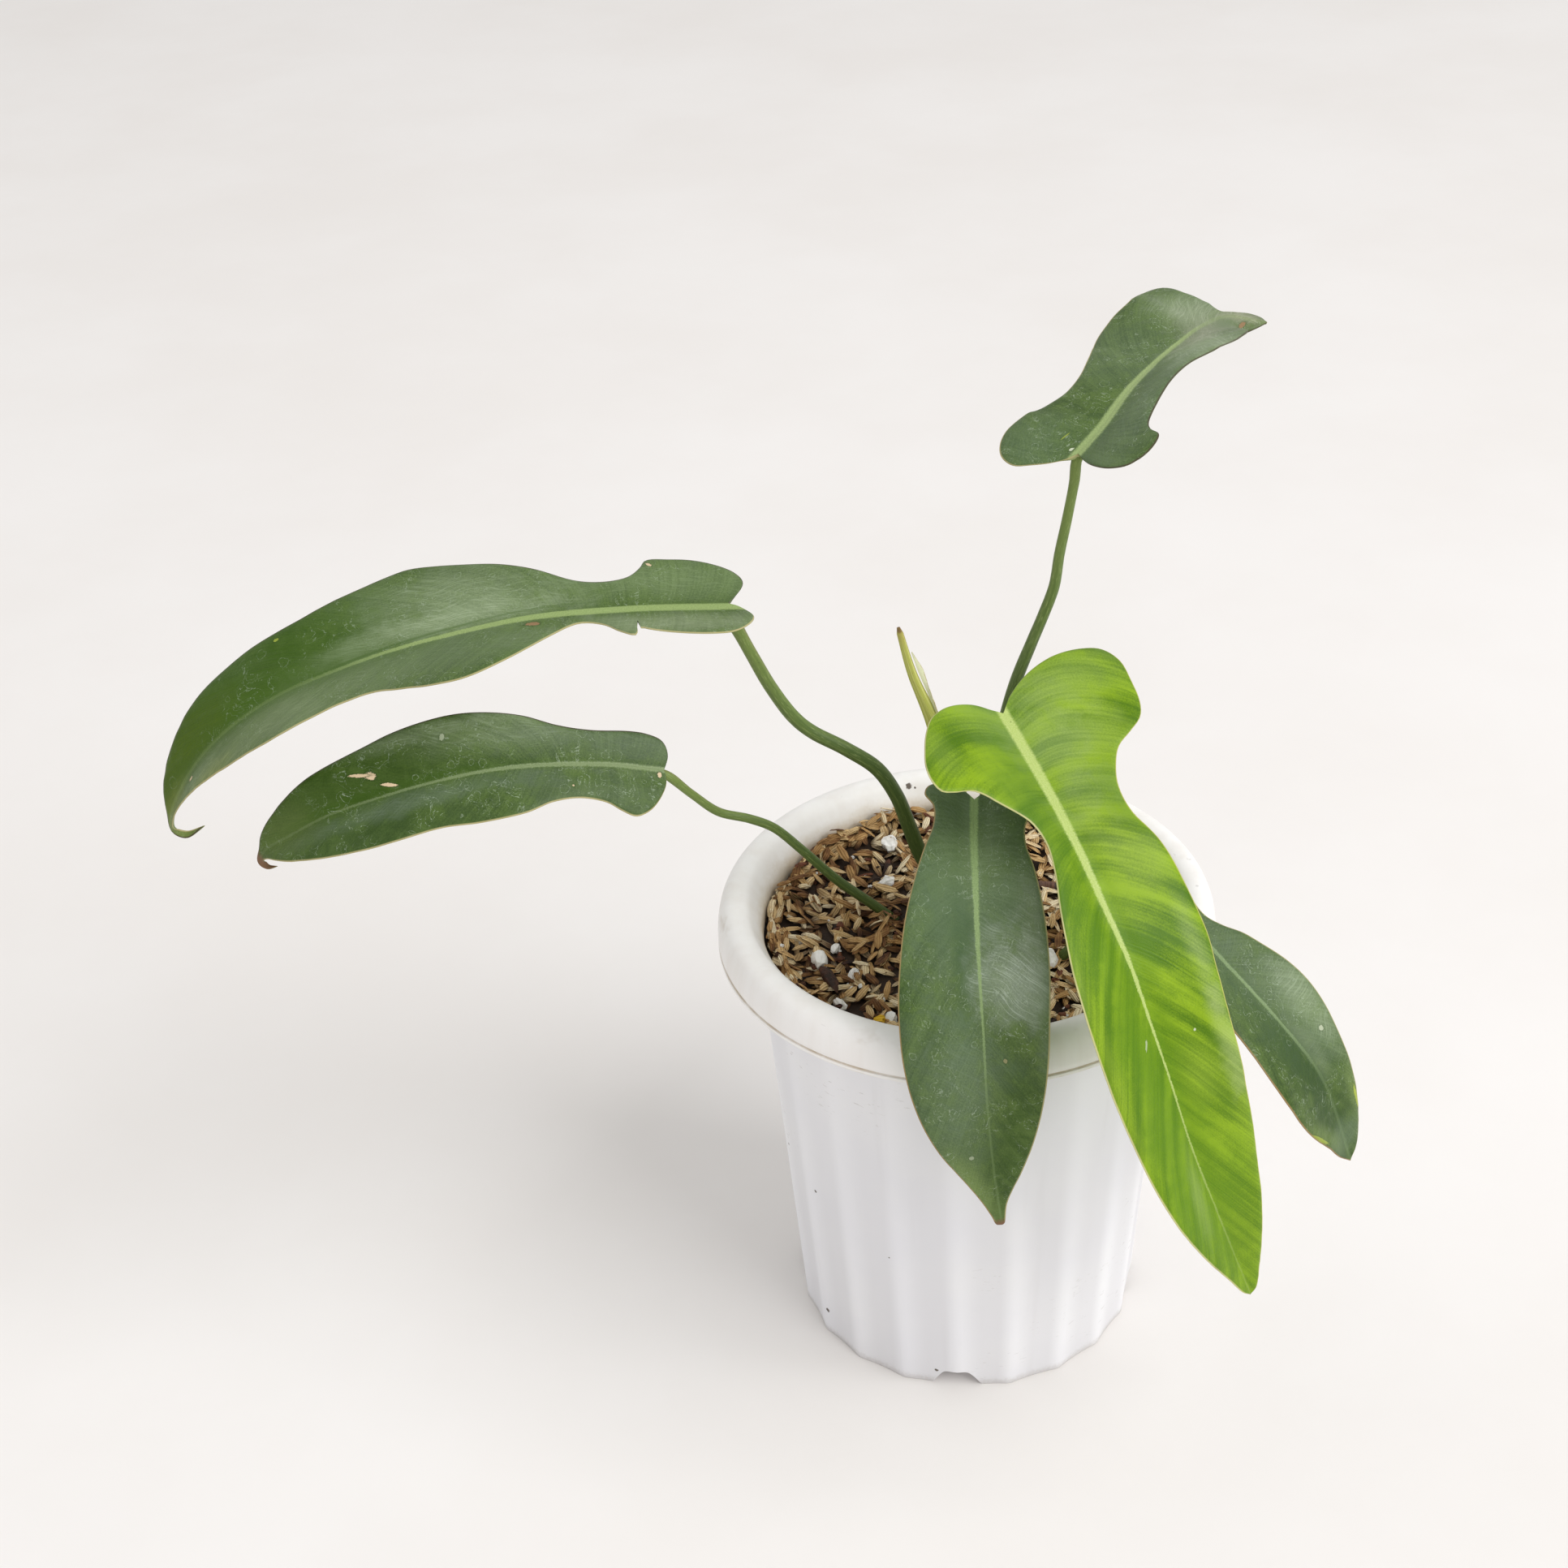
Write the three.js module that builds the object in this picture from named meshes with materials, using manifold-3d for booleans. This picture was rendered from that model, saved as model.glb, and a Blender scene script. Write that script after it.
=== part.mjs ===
// Potted hybrid philodendron: a fluted white plastic pot with a broad rolled collar, filled
// with a growing medium of rice husks, bark and perlite, and one plant with six leaves on
// long stalks that arch out over the rim.
//
// Millimetres, +Z up. The origin is the centre of the pot's underside, -Y is the front.
// Every leaf blade is a flat outline, given along its midrib (u) and across it (v), that is
// bent over the midrib's curve in space. Pieces that touch keep a small gap.

import * as THREE from 'three';
import { mergeVertices } from 'three/addons/utils/BufferGeometryUtils.js';
import loadManifold from 'manifold-3d';

const manifold = await loadManifold();
manifold.setup();

// Driving dimensions

const GAP = 0.3; // left between pieces that touch

const POT = {
  height: 183,
  rimRadius: 90, // outside of the rolled collar
  crestRadius: 82.5, // highest line of the collar
  mouthRadius: 74.2, // where the collar's inner slope ends
  mouthHeight: 173.7,
  collarHeight: 16.6,
  lipHeight: 2, // thin band along the collar's lower edge
  bodyTopRadius: 76.1,
  baseRadius: 64.5,
  wall: 2.4,
  floorTop: 6.2,
  recess: 3.6, // height of the drained ring under the floor
  padRadius: 30, // flat middle of the underside
  footInner: 57,
  draft: 1.5, // how far the recess walls lean
  innerEdge: 164.7, // height where the inner wall turns upright
};
// Turns along the collar's shoulder, in degrees, and how much squarer than a circle it is
const SHOULDER = { turns: [22, 42, 60, 76], power: 0.72 };
const FLUTES = { count: 20, depth: 1.5, ridgeAngle: -3.5, facesEach: 3 };
// Openings in the foot ring: their roof falls from height, outside, to innerHeight
const NOTCH = {
  count: 4, footWidth: 19.6, topWidth: 9.6, height: 8.4, innerHeight: 3.4, start: 56, length: 10,
};
const DRAIN = { count: 8, radius: 4.5, circle: 43.5, sides: 14 };

// rise: height the surface gains per millimetre to the back; crown: how much it swells inwards
const SOIL = { level: 167.6, rise: 0.055, crown: 1.5, topRadius: 73.4, shoulder: 6, sides: 40 };
// root: depth of a husk below the surface; lift: how far its middle stands above
const HUSK = {
  count: 112, length: 20, width: 7, height: 2.6, root: 9, reach: 67.5, seed: 7,
  smallest: 0.8, spread: 0.4, tilt: 14, lift: 0.2,
};
// Larger white grains that lie on top: place, radius
const PERLITE = [
  [-52, -19.4, 4.6], [-47, -10.7, 3.0], [-39.7, -27.5, 2.6], [-44.1, -42.5, 2.6], [-39, -50.6, 2.2],
  [-26.5, -51, 3.0], [-28.3, 48.6, 2.8], [-28.8, 27.2, 2.4], [29.7, -18.8, 4.4], [46, 34, 3.4],
  [12, 52, 2.6],
];
const PERLITE_FORM = { scale: [1.15, 0.9, 0.85], lift: -1.2, liftPerRadius: 0.6 };

const BLADE = {
  edge: 0.9, // thickness
  ribUpper: 0.35,
  ribLower: 1.3,
  ribHalfWidth: 3,
  ribFade: 0.7, // share of the rib's height lost at the tip
  stations: 27,
  leastStep: 0.4, // between stations, along the midrib
  gather: 0.4, // how much closer the stations lie at base and tip
};
const ACROSS = [0.13, 0.52, 1]; // shares of the half width where a blade has its rows
const RUFFLE = { full: 25, shift: 1.9 }; // distance out where it is full; lag of the right edge
const TUBE = { sides: 9, step: 9, fewest: 6 };

// Stem: centre line and radii from below the soil to its top
const STEM = {
  line: [[1, 8, 136], [3, 8, 160], [3, 6, 184], [3, 5, 202]],
  radii: [6.5, 7, 6.2, 3.8],
};
// Dry aerial root that crosses the soil
const AERIAL_ROOT = {
  line: [[7, 12, 171], [19, 20, 171.5], [34, 22, 170.5], [47, 18, 166], [54, 12, 154]],
  radii: [1.7, 1.6, 1.4, 1.3, 1.2],
};
// Sheath that wrapped the youngest leaf, closed to a spike
const SHEATH = {
  line: [[0.5, 8, 190], [-4, 9, 222], [-10.9, 8, 250.5], [-18, 8, 270.3], [-22.5, 8, 288.7]],
  radii: [3.4, 4.6, 3.7, 2.5, 1.5],
  flat: 0.62, // thickness as a share of width
};

// Leaves. midrib, stalk: points in space; face: the way the upper side looks at the base,
// middle and tip; fold: degrees that each half rises from the midrib; droop: degrees that a
// half bends back for each millimetre out; wave: height and length of the edge's ruffle;
// right and left: the flat outline from the notch at the stalk round to the tip.
const LEAVES = {
  upper_left: {
    midrib: [[-80, 1, 301.7], [-112, -3, 303.4], [-146, -8.5, 303.3], [-173.5, -13, 299],
      [-194, -16.7, 294.5], [-214.8, -20.4, 288], [-232.2, -22.5, 281], [-251.7, -25, 268.4],
      [-265.5, -25.6, 253.8], [-275.8, -26.8, 235.6], [-276.3, -27, 229.9], [-272, -27, 227.5],
      [-265, -27, 231.3]],
    face: [[0.07, -0.15, 0.99], [-0.19, -0.28, 0.94], [-0.66, -0.63, 0.41]],
    fold: [16, 16, 14],
    droop: 0.3,
    wave: { height: 1.6, length: 74, phase: 0.4 },
    right: [[0, 0], [-5.7, 9.5], [-3, 14], [7.3, 19], [19, 21.4], [27, 21.5], [29, 18], [33, 14],
      [41.5, 12], [51, 13.2], [64, 19.2], [84.3, 27.5], [95.3, 31.5], [106, 33.6], [116, 31.5],
      [125, 28.8], [139.5, 25], [152, 23.2], [165, 23], [176.5, 21.7], [189.5, 18.6], [200.6, 14.3],
      [210, 10.8], [217, 7.5], [220, 5], [223, 2.6], [226.2, 1.6], [234, 1.3], [240.7, 0]],
    left: [[0, 0], [-5, -2.8], [-8.5, -8.2], [-6.4, -15.3], [0, -21], [13, -21.5], [27, -17], [30, -15.6],
      [31.6, -20], [37, -16.4], [42.6, -11], [50, -8.6], [60, -14.6], [76.6, -27], [88, -31.2],
      [99.5, -30], [111, -25.2], [122.8, -20.2], [134.5, -19.2], [145.3, -20.7], [155, -21.9],
      [164.7, -20.9], [172.4, -18.7], [183.3, -15.4], [196.8, -10.7], [209.8, -5.7], [219, -2.9],
      [225.3, -1.9], [229.3, -1.6], [234, -1.2], [240.7, 0]],
    stalk: [[-80.2, 1, 299], [-77, 2, 291.5], [-73, 3, 281.5], [-66.5, 5, 266], [-59.5, 6, 254],
      [-53.5, 7, 247.5], [-41.5, 8, 239.5], [-31, 10, 230], [-24.5, 12, 217.5], [-20, 14, 202.5],
      [-15.5, 14, 189], [-8, 11, 178.5], [1, 8, 172]],
    stalkRadii: [2.2, 3.1],
  },
  lower_left: {
    midrib: [[-104, -15, 245.4], [-121.5, -20, 251], [-141.5, -25, 254.3], [-161.5, -30, 255.3],
      [-182, -34, 252.7], [-201.5, -37, 248], [-217.5, -39, 242.8], [-231, -40, 235.5], [-240.5, -40, 229.5],
      [-242.8, -40, 225.3], [-241, -40, 222.6], [-237.5, -40, 223]],
    face: [[0.2, -0.6, 0.77], [0, -0.64, 0.77], [-0.35, -0.65, 0.67]],
    fold: [10, 12, 10],
    droop: 0.3,
    wave: { height: 1.1, length: 46, phase: 1.2 },
    right: [[0, 0], [-1.4, 5.7], [0.8, 10.4], [7.5, 12.6], [26, 12.2], [37, 14], [48, 18.2], [58, 20.7],
      [68, 21.8], [80, 21.3], [91, 20.5], [103, 18.8], [114.5, 16.7], [126, 14.2], [137, 10.8], [143.5, 7],
      [147.5, 2.5], [151, 1.5], [157.4, 0]],
    left: [[0, 0], [-1, -4], [0.5, -9], [4.8, -15.5], [10, -18.4], [15.3, -16.8], [21, -14], [30, -12.7],
      [40, -14], [50, -17.5], [66, -18.7], [79, -17.6], [96.5, -17.9], [110, -17], [123.5, -14.4],
      [135, -9.8], [143, -5.6], [149, -1.8], [152, -1.5], [157.4, 0]],
    stalk: [[-103.5, -15, 244], [-95.2, -12, 234], [-86.3, -9, 224.4], [-76, -6, 219.5], [-68, -4, 214.5],
      [-58.5, -1, 203], [-46.5, 3, 187], [-34, 6, 174], [-26.6, 8, 166], [-15, 9, 156], [0, 8, 148]],
    stalkRadii: [1.5, 2.1],
  },
  top: {
    midrib: [[37.7, 9.4, 352.2], [45.5, 18.8, 357], [55, 37, 361.5], [64.5, 55, 363], [74, 72.6, 363],
      [83.6, 88, 363], [93, 97, 363], [107, 98, 360]],
    face: [[-0.32, -0.19, 0.93], [-0.23, 0.05, 0.97], [0.1, -0.3, 0.95]],
    fold: [16, 16, 16, 16, -20],
    droop: 0.3,
    wave: { height: 1.0, length: 62, phase: 2.4 },
    right: [[0, 0], [-3, 5.4], [-5, 11.3], [-5.4, 18.3], [-3.2, 24.3], [2.8, 27.7], [7.5, 28.6],
      [10.4, 27.4], [12, 22], [14, 19.5], [22.6, 17.6], [31, 17], [42, 16.6], [49.5, 17.7], [54.6, 20.7],
      [58, 22.8], [66, 23.6], [78.7, 22.8], [84.3, 22], [92, 18.7], [99, 14], [103.7, 11.6], [110.5, 8.3],
      [116.5, 3.6], [120.4, 0]],
    left: [[0, 0], [-4, -2.9], [-11, -11.3], [-14.2, -16.5], [-13, -22], [-8.8, -25.8], [-2, -28.2],
      [5.8, -28], [12.5, -27.5], [20.7, -24.4], [29.5, -20.6], [38, -20], [50.3, -22.4], [67.5, -27],
      [81, -28.8], [89.8, -28.4], [97, -29.6], [101.6, -29], [103.6, -20.5], [104.7, -12], [105.3, -4],
      [109.5, -3.5], [114.5, -5], [118.5, -4.5], [120.4, 0]],
    stalk: [[37.5, 11, 350.5], [36.5, 10, 342.5], [34.3, 10, 328.6], [32, 10, 315.3], [30.4, 10, 303],
      [26.8, 10, 291.6], [23, 10, 281], [17, 10, 263], [10.5, 9, 233], [5.5, 7, 204], [3, 6, 186]],
    stalkRadii: [1.65, 2.8],
  },
  lime: {
    midrib: [[12.8, -22.7, 272], [20, -36.8, 265.8], [28, -53, 258.6], [36, -69.3, 250],
      [44.3, -83.7, 236.8], [52.5, -95, 221.8], [59, -102.5, 204.4], [65.3, -107.2, 186.2],
      [73.6, -111, 159.3], [82.5, -112.4, 134.2], [96.5, -110.9, 93.8]],
    face: [[0.26, -0.29, 0.92], [0.5, -0.74, 0.45], [0.62, -0.76, 0.21]],
    fold: [16, 16, 14],
    droop: 0.3,
    wave: { height: 1.4, length: 82, phase: 3.6 },
    right: [[0, 0], [-3.3, 5.7], [-5.5, 12], [-5.6, 20], [-2.3, 27.5], [4.5, 33.7], [12.4, 38.4],
      [20, 41.7], [27, 42.6], [31, 41.2], [32.1, 36.7], [32.7, 29.6], [39, 21], [46.3, 13.2],
      [53.7, 11.4], [62.6, 13], [73.4, 17], [83.5, 20.3], [95.2, 24], [105.7, 25.6], [118, 25.7],
      [130.4, 25.3], [145.5, 23.6], [165.3, 21], [185.7, 18], [206.4, 12], [223.2, 5.9], [232.6, 2.6],
      [236.2, 0]],
    left: [[0, 0], [-2, -2], [-6.2, -5.5], [-12.4, -15], [-15.8, -26.7], [-15.7, -37], [-13.4, -44.2],
      [-7.5, -48.4], [1, -48.7], [9.2, -48], [15.2, -45], [19.8, -38.7], [24.5, -31.6], [31.2, -26.8],
      [40, -23], [51, -22.6], [64, -27], [75.5, -29], [97.2, -30], [111.5, -28.3], [132, -26],
      [152, -25.2], [172.6, -24.3], [193.3, -19.3], [210, -14], [227.3, -7.2], [235, -3], [236.2, 0]],
    stalk: [[15.5, -24.5, 269], [12.2, -19, 262], [9.5, -12, 245], [7, -4, 222], [5, 2, 203], [4, 4, 187]],
    stalkRadii: [2.3, 3.1],
  },
  front: {
    midrib: [[3.2, -36, 246.5], [3, -50, 241], [3.6, -70, 229.7], [4.6, -85, 211.7], [5.9, -96, 194.4],
      [7, -101, 170.4], [9.2, -102, 142.3], [12.2, -100.9, 115.6]],
    face: [[-0.02, -0.36, 0.93], [-0.1, -0.9, 0.41], [0.1, -0.99, 0.02]],
    fold: [10, 10, 10],
    droop: 0.2,
    wave: { height: 0.8, length: 58, phase: 5.1 },
    right: [[0, 0], [-4.5, 4.6], [-6.4, 10.6], [-4.9, 15.6], [-1.4, 16.8], [3.6, 13.8], [11, 13.7],
      [19.6, 16.7], [32.2, 20.8], [44.7, 24], [58.4, 26], [75, 27.5], [93, 27], [109, 23.7],
      [125.6, 17.5], [140, 10], [150, 5.6], [157, 3.2], [161.4, 1.8], [161.9, 0]],
    left: [[0, 0], [-4.4, -5.4], [-6, -12.4], [-4, -18.4], [1, -20.4], [7, -19], [12, -17.3], [20, -17.4],
      [29, -19.8], [45, -22.6], [62.5, -23.4], [76.7, -22.6], [90, -21.4], [107, -19], [122.6, -15],
      [137, -9.6], [151.6, -3], [161.5, -0.8], [161.9, 0]],
    stalk: [[3.6, -37.5, 244], [3.5, -31, 236], [3.3, -20, 219], [3, -8, 199], [3, 3, 182]],
    stalkRadii: [1.8, 2.5],
  },
  right: {
    midrib: [[58, -15, 212.8], [69.7, -28.8, 203], [84, -42, 189.7], [97, -52.6, 179.4],
      [108.2, -58.7, 168.4], [121.6, -62, 149.8], [135, -62, 111.4]],
    face: [[0.25, -0.35, 0.9], [0.5, -0.5, 0.7], [0.7, -0.65, 0.3]],
    fold: [14, 14, 12],
    droop: 0.3,
    wave: { height: 0.8, length: 52, phase: 0.9 },
    right: [[0, 0], [-3.5, 6], [-3, 12], [2, 15.4], [10, 15], [19, 13.5], [30, 14], [43.4, 16.5],
      [57, 18.6], [69, 19.2], [77.6, 20.3], [89, 22], [98.7, 22.2], [109.5, 19.7], [120, 15.3],
      [130.6, 9], [138, 5.2], [144.7, 0]],
    left: [[0, 0], [-3.5, -4], [-3.6, -6.8], [-0.5, -8.4], [6.5, -8.6], [15.7, -7.8], [26, -6.5], [34, -6.5],
      [40.7, -9.5], [47, -13.4], [53.8, -15.7], [66.4, -18.8], [79, -19.7], [88, -18.7], [98.8, -15.8],
      [108, -14], [119.5, -12.5], [130.5, -9.9], [140, -5.7], [144.7, 0]],
    stalk: [[59, -17.5, 209.5], [54.5, -18, 203], [46, -19.5, 187], [33.8, -16, 166], [22, -7, 155],
      [6, 6, 148]],
    stalkRadii: [1.7, 2.2],
  },
};

// Shared tools

const point = ([x, y, z = 0]) => new THREE.Vector3(x, y, z);
const radians = THREE.MathUtils.degToRad;
const smoothLine = (points) => new THREE.CatmullRomCurve3(points.map(point), false, 'centripetal');

/** Value of a list of numbers, spread evenly over 0 to 1, at share t. */
function blend(list, t) {
  const at = THREE.MathUtils.clamp(t, 0, 1) * (list.length - 1);
  const low = Math.min(Math.floor(at), list.length - 2);
  return THREE.MathUtils.lerp(list[low], list[low + 1], at - low);
}

/** Repeatable random numbers from 0 to 1. */
function randomNumbers(seed) {
  let state = seed >>> 0;
  return () => {
    state = (state + 0x6d2b79f5) >>> 0;
    let mixed = Math.imul(state ^ (state >>> 15), 1 | state);
    mixed = (mixed + Math.imul(mixed ^ (mixed >>> 7), 61 | mixed)) ^ mixed;
    return ((mixed ^ (mixed >>> 14)) >>> 0) / 4294967296;
  };
}

/** A closed geometry as a solid that can be cut and joined. */
function toSolid(geometry) {
  const bare = geometry.clone();
  bare.deleteAttribute('normal');
  bare.deleteAttribute('uv');
  const merged = mergeVertices(bare, 1e-4);
  const index = merged.index.array;
  const faces = [];
  for (let i = 0; i < index.length; i += 3) {
    const [a, b, c] = [index[i], index[i + 1], index[i + 2]];
    if (a !== b && b !== c && c !== a) faces.push(a, b, c);
  }
  const mesh = new manifold.Mesh({
    numProp: 3,
    vertProperties: Float32Array.from(merged.attributes.position.array),
    triVerts: Uint32Array.from(faces),
  });
  return new manifold.Manifold(mesh);
}

/** A cut or joined solid as a geometry. */
function toGeometry(solid) {
  const mesh = solid.getMesh();
  const geometry = new THREE.BufferGeometry();
  geometry.setAttribute('position', new THREE.BufferAttribute(Float32Array.from(mesh.vertProperties), 3));
  geometry.setIndex(Array.from(mesh.triVerts));
  geometry.computeVertexNormals();
  return geometry;
}

const cut = (solid, ...tools) => tools.reduce((rest, tool) => rest.subtract(tool), solid);

// Round stems, stalks and roots

/** A cylinder bent along a smooth line, with its radius blended from a list; grow fattens it. */
function tube({ line, radii, flat = 1 }, grow = 0) {
  const curve = smoothLine(line);
  const steps = Math.max(TUBE.fewest, Math.round(curve.getLength() / TUBE.step));
  const geometry = new THREE.CylinderGeometry(1, 1, 1, TUBE.sides, steps);
  const frames = curve.computeFrenetFrames(steps, false);
  const position = geometry.attributes.position;
  for (let i = 0; i < position.count; i += 1) {
    const station = Math.round((0.5 - position.getY(i)) * steps);
    const along = station / steps;
    const radius = blend(radii, along) + grow;
    const place = curve.getPointAt(along)
      .addScaledVector(frames.normals[station], position.getX(i) * radius)
      .addScaledVector(frames.binormals[station], position.getZ(i) * (radius - grow) * flat
        + position.getZ(i) * grow);
    position.setXYZ(i, place.x, place.y, place.z);
  }
  return toSolid(geometry);
}

// Leaf blades

/** Shares of an outline that lie closer together at its base and tip. */
const closerAtEnds = (share) => share - (BLADE.gather * Math.sin(2 * Math.PI * share)) / (2 * Math.PI);

/** The frame of a leaf at distance u along its midrib: place, upward normal, right-hand side. */
function midribFrame(leaf, curve, length, u) {
  const share = THREE.MathUtils.clamp(u / length, 0, 1);
  const along = curve.getTangentAt(share);
  const place = curve.getPointAt(share).addScaledVector(along, u - share * length);
  const up = new THREE.Vector3(...[0, 1, 2].map((axis) => blend(leaf.face.map((face) => face[axis]), share)));
  up.addScaledVector(along, -up.dot(along)).normalize();
  return { share, place, up, side: along.clone().cross(up) };
}

/** Bends the flat point u, v over the leaf's midrib. */
function bladePoint(leaf, curve, length, u, v) {
  const { share, place, up, side } = midribFrame(leaf, curve, length, u);
  const fold = radians(blend(leaf.fold, share));
  const droop = radians(leaf.droop);
  const out = Math.abs(v);
  const across = (Math.sin(fold) - Math.sin(fold - droop * out)) / droop;
  const arch = (Math.cos(fold - droop * out) - Math.cos(fold)) / droop;
  const { height, length: waveLength, phase } = leaf.wave;
  const turn = (2 * Math.PI * u) / waveLength + phase + (v > 0 ? RUFFLE.shift : 0);
  const ruffle = height * Math.min(1, out / RUFFLE.full) ** 2 * Math.sin(turn);
  return place.addScaledVector(side, Math.sign(v) * across).addScaledVector(up, arch + ruffle);
}

/** A closed thin blade with a rib along its middle; grow fattens it on every side. */
function blade(leaf, grow = 0) {
  const curve = smoothLine(leaf.midrib);
  const length = curve.getLength();
  const edges = [leaf.left, leaf.right].map(smoothLine);
  const n = BLADE.stations;
  let reached = 0;
  const stations = Array.from({ length: n + 1 }, (_, i) => {
    const [left, right] = edges.map((edge) => edge.getPointAt(closerAtEnds(i / n)));
    reached = i === 0 ? 0 : Math.max(reached + BLADE.leastStep, (left.x + right.x) / 2);
    return { left, right, middle: Math.min(reached, length - (n - i) * BLADE.leastStep) };
  });
  // Columns run from the left edge over the midrib to the right edge.
  const columns = [...ACROSS.map((share) => -share).reverse(), 0, ...ACROSS];
  const flatPoint = (i, column) => {
    const { left, right, middle } = stations[i];
    const edge = column < 0 ? left : right;
    const share = Math.abs(column);
    const u = THREE.MathUtils.lerp(middle, edge.x, share);
    const v = edge.y * share;
    const reach = Math.hypot(edge.x - middle, edge.y) || 1;
    const more = (grow * share) / reach;
    const beyond = i === 0 ? -grow : i === n ? grow : 0;
    return [u + (edge.x - middle) * more + beyond, v + edge.y * more];
  };
  const faces = ([u, v]) => {
    const near = 0.5;
    const here = bladePoint(leaf, curve, length, u, v);
    const alongU = bladePoint(leaf, curve, length, u + near, v).sub(here);
    const alongV = bladePoint(leaf, curve, length, u, v + (v < 0 ? -near : near)).sub(here);
    if (v < 0) alongV.negate();
    if (v === 0) alongV.copy(midribFrame(leaf, curve, length, u).side);
    const normal = alongV.cross(alongU).normalize();
    const fade = 1 - BLADE.ribFade * THREE.MathUtils.clamp(u / length, 0, 1);
    const rib = Math.exp(-((v / BLADE.ribHalfWidth) ** 2)) * fade;
    const above = BLADE.edge / 2 + BLADE.ribUpper * rib + grow;
    const below = BLADE.edge / 2 + BLADE.ribLower * rib + grow;
    return [here.clone().addScaledVector(normal, above), here.clone().addScaledVector(normal, -below)];
  };
  const upper = [];
  const lower = [];
  for (let i = 0; i <= n; i += 1) {
    const tip = i === 0 || i === n;
    const row = columns.map((column) => faces(flatPoint(i, tip ? 0 : column)));
    upper.push(row.map(([top]) => top));
    lower.push(row.map(([, bottom]) => bottom));
  }
  const corners = [];
  const triangle = (a, b, c) => corners.push(...a.toArray(), ...b.toArray(), ...c.toArray());
  const last = columns.length - 1;
  for (let i = 0; i < n; i += 1) {
    for (let j = 0; j < last; j += 1) {
      triangle(upper[i][j], upper[i][j + 1], upper[i + 1][j + 1]);
      triangle(upper[i][j], upper[i + 1][j + 1], upper[i + 1][j]);
      triangle(lower[i][j], lower[i + 1][j + 1], lower[i][j + 1]);
      triangle(lower[i][j], lower[i + 1][j], lower[i + 1][j + 1]);
    }
    for (const [j, turned] of [[0, false], [last, true]]) {
      const [a, b, c, d] = [upper[i][j], upper[i + 1][j], lower[i + 1][j], lower[i][j]];
      if (turned) {
        triangle(a, c, b);
        triangle(a, d, c);
      } else {
        triangle(a, b, c);
        triangle(a, c, d);
      }
    }
  }
  const geometry = new THREE.BufferGeometry();
  geometry.setAttribute('position', new THREE.Float32BufferAttribute(corners, 3));
  return toSolid(geometry);
}

// Pot

/** Half of the pot's section: underside, outer wall, collar, mouth, inner wall, floor. */
function potProfile() {
  const p = POT;
  const collarFoot = p.height - p.collarHeight;
  const shoulderFoot = collarFoot + p.lipHeight;
  const shoulder = SHOULDER.turns.map(radians).map((angle) => [
    p.crestRadius + (p.rimRadius - p.crestRadius) * Math.cos(angle) ** SHOULDER.power,
    shoulderFoot + (p.height - shoulderFoot) * Math.sin(angle) ** SHOULDER.power,
  ]);
  const points = [
    [0, 0], [p.padRadius, 0], [p.padRadius + p.draft, p.recess], [p.footInner - p.draft, p.recess],
    [p.footInner, 0], [p.baseRadius - 0.5, 0], [p.baseRadius, 0.5], [p.bodyTopRadius, collarFoot],
    [p.rimRadius, collarFoot], [p.rimRadius, shoulderFoot], ...shoulder, [p.crestRadius, p.height],
    [p.crestRadius - 3.2, p.height - 1.1], [p.mouthRadius + 2, p.mouthHeight + 4],
    [p.mouthRadius, p.mouthHeight], [p.mouthRadius - 0.8, p.mouthHeight - 5],
    [p.bodyTopRadius - p.wall, p.innerEdge], [p.baseRadius - p.wall - 1, p.floorTop + 2],
    [p.baseRadius - p.wall - 3, p.floorTop], [0, p.floorTop],
  ];
  return points.map(([r, z]) => new THREE.Vector2(r, z));
}

/** How far the outer wall lies inside its plain cone at this angle and height. */
function fluteDepth(angle, z) {
  const pitch = 360 / FLUTES.count;
  const fromRidge = (((THREE.MathUtils.radToDeg(angle) - FLUTES.ridgeAngle) % pitch) + pitch) % pitch;
  const across = (2 * fromRidge) / pitch - 1;
  const fade = 1 - z / (POT.height - POT.collarHeight);
  return Math.max(0, FLUTES.depth * (1 - across * across) * fade);
}

/** A round hole through the floor. */
function drainHole(index) {
  const hole = new THREE.CylinderGeometry(DRAIN.radius, DRAIN.radius, 2 * POT.floorTop, DRAIN.sides);
  const angle = (2 * Math.PI * (index + 0.5)) / DRAIN.count;
  hole.rotateX(Math.PI / 2);
  hole.translate(DRAIN.circle * Math.sin(angle), -DRAIN.circle * Math.cos(angle), POT.floorTop / 2);
  return toSolid(hole);
}

/** An opening with slanted sides, cut through the foot ring; its roof falls inwards. */
function footNotch(index) {
  const [foot, crown, below] = [NOTCH.footWidth / 2, NOTCH.topWidth / 2, -1];
  const outline = [[-foot, below], [foot, below], [foot, 0], [crown, NOTCH.height], [-crown, NOTCH.height],
    [-foot, 0]];
  const shape = new THREE.Shape(outline.map(([x, z]) => new THREE.Vector2(x, z)));
  const notch = new THREE.ExtrudeGeometry(shape, { depth: NOTCH.length, bevelEnabled: false });
  notch.rotateX(Math.PI / 2);
  notch.translate(0, -NOTCH.start, 0);
  const position = notch.attributes.position;
  for (let i = 0; i < position.count; i += 1) {
    if (position.getZ(i) > 0 && position.getY(i) > -NOTCH.start - 1) position.setZ(i, NOTCH.innerHeight);
  }
  notch.rotateZ(radians(FLUTES.ridgeAngle) + (2 * Math.PI * index) / NOTCH.count);
  return toSolid(notch);
}

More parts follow.
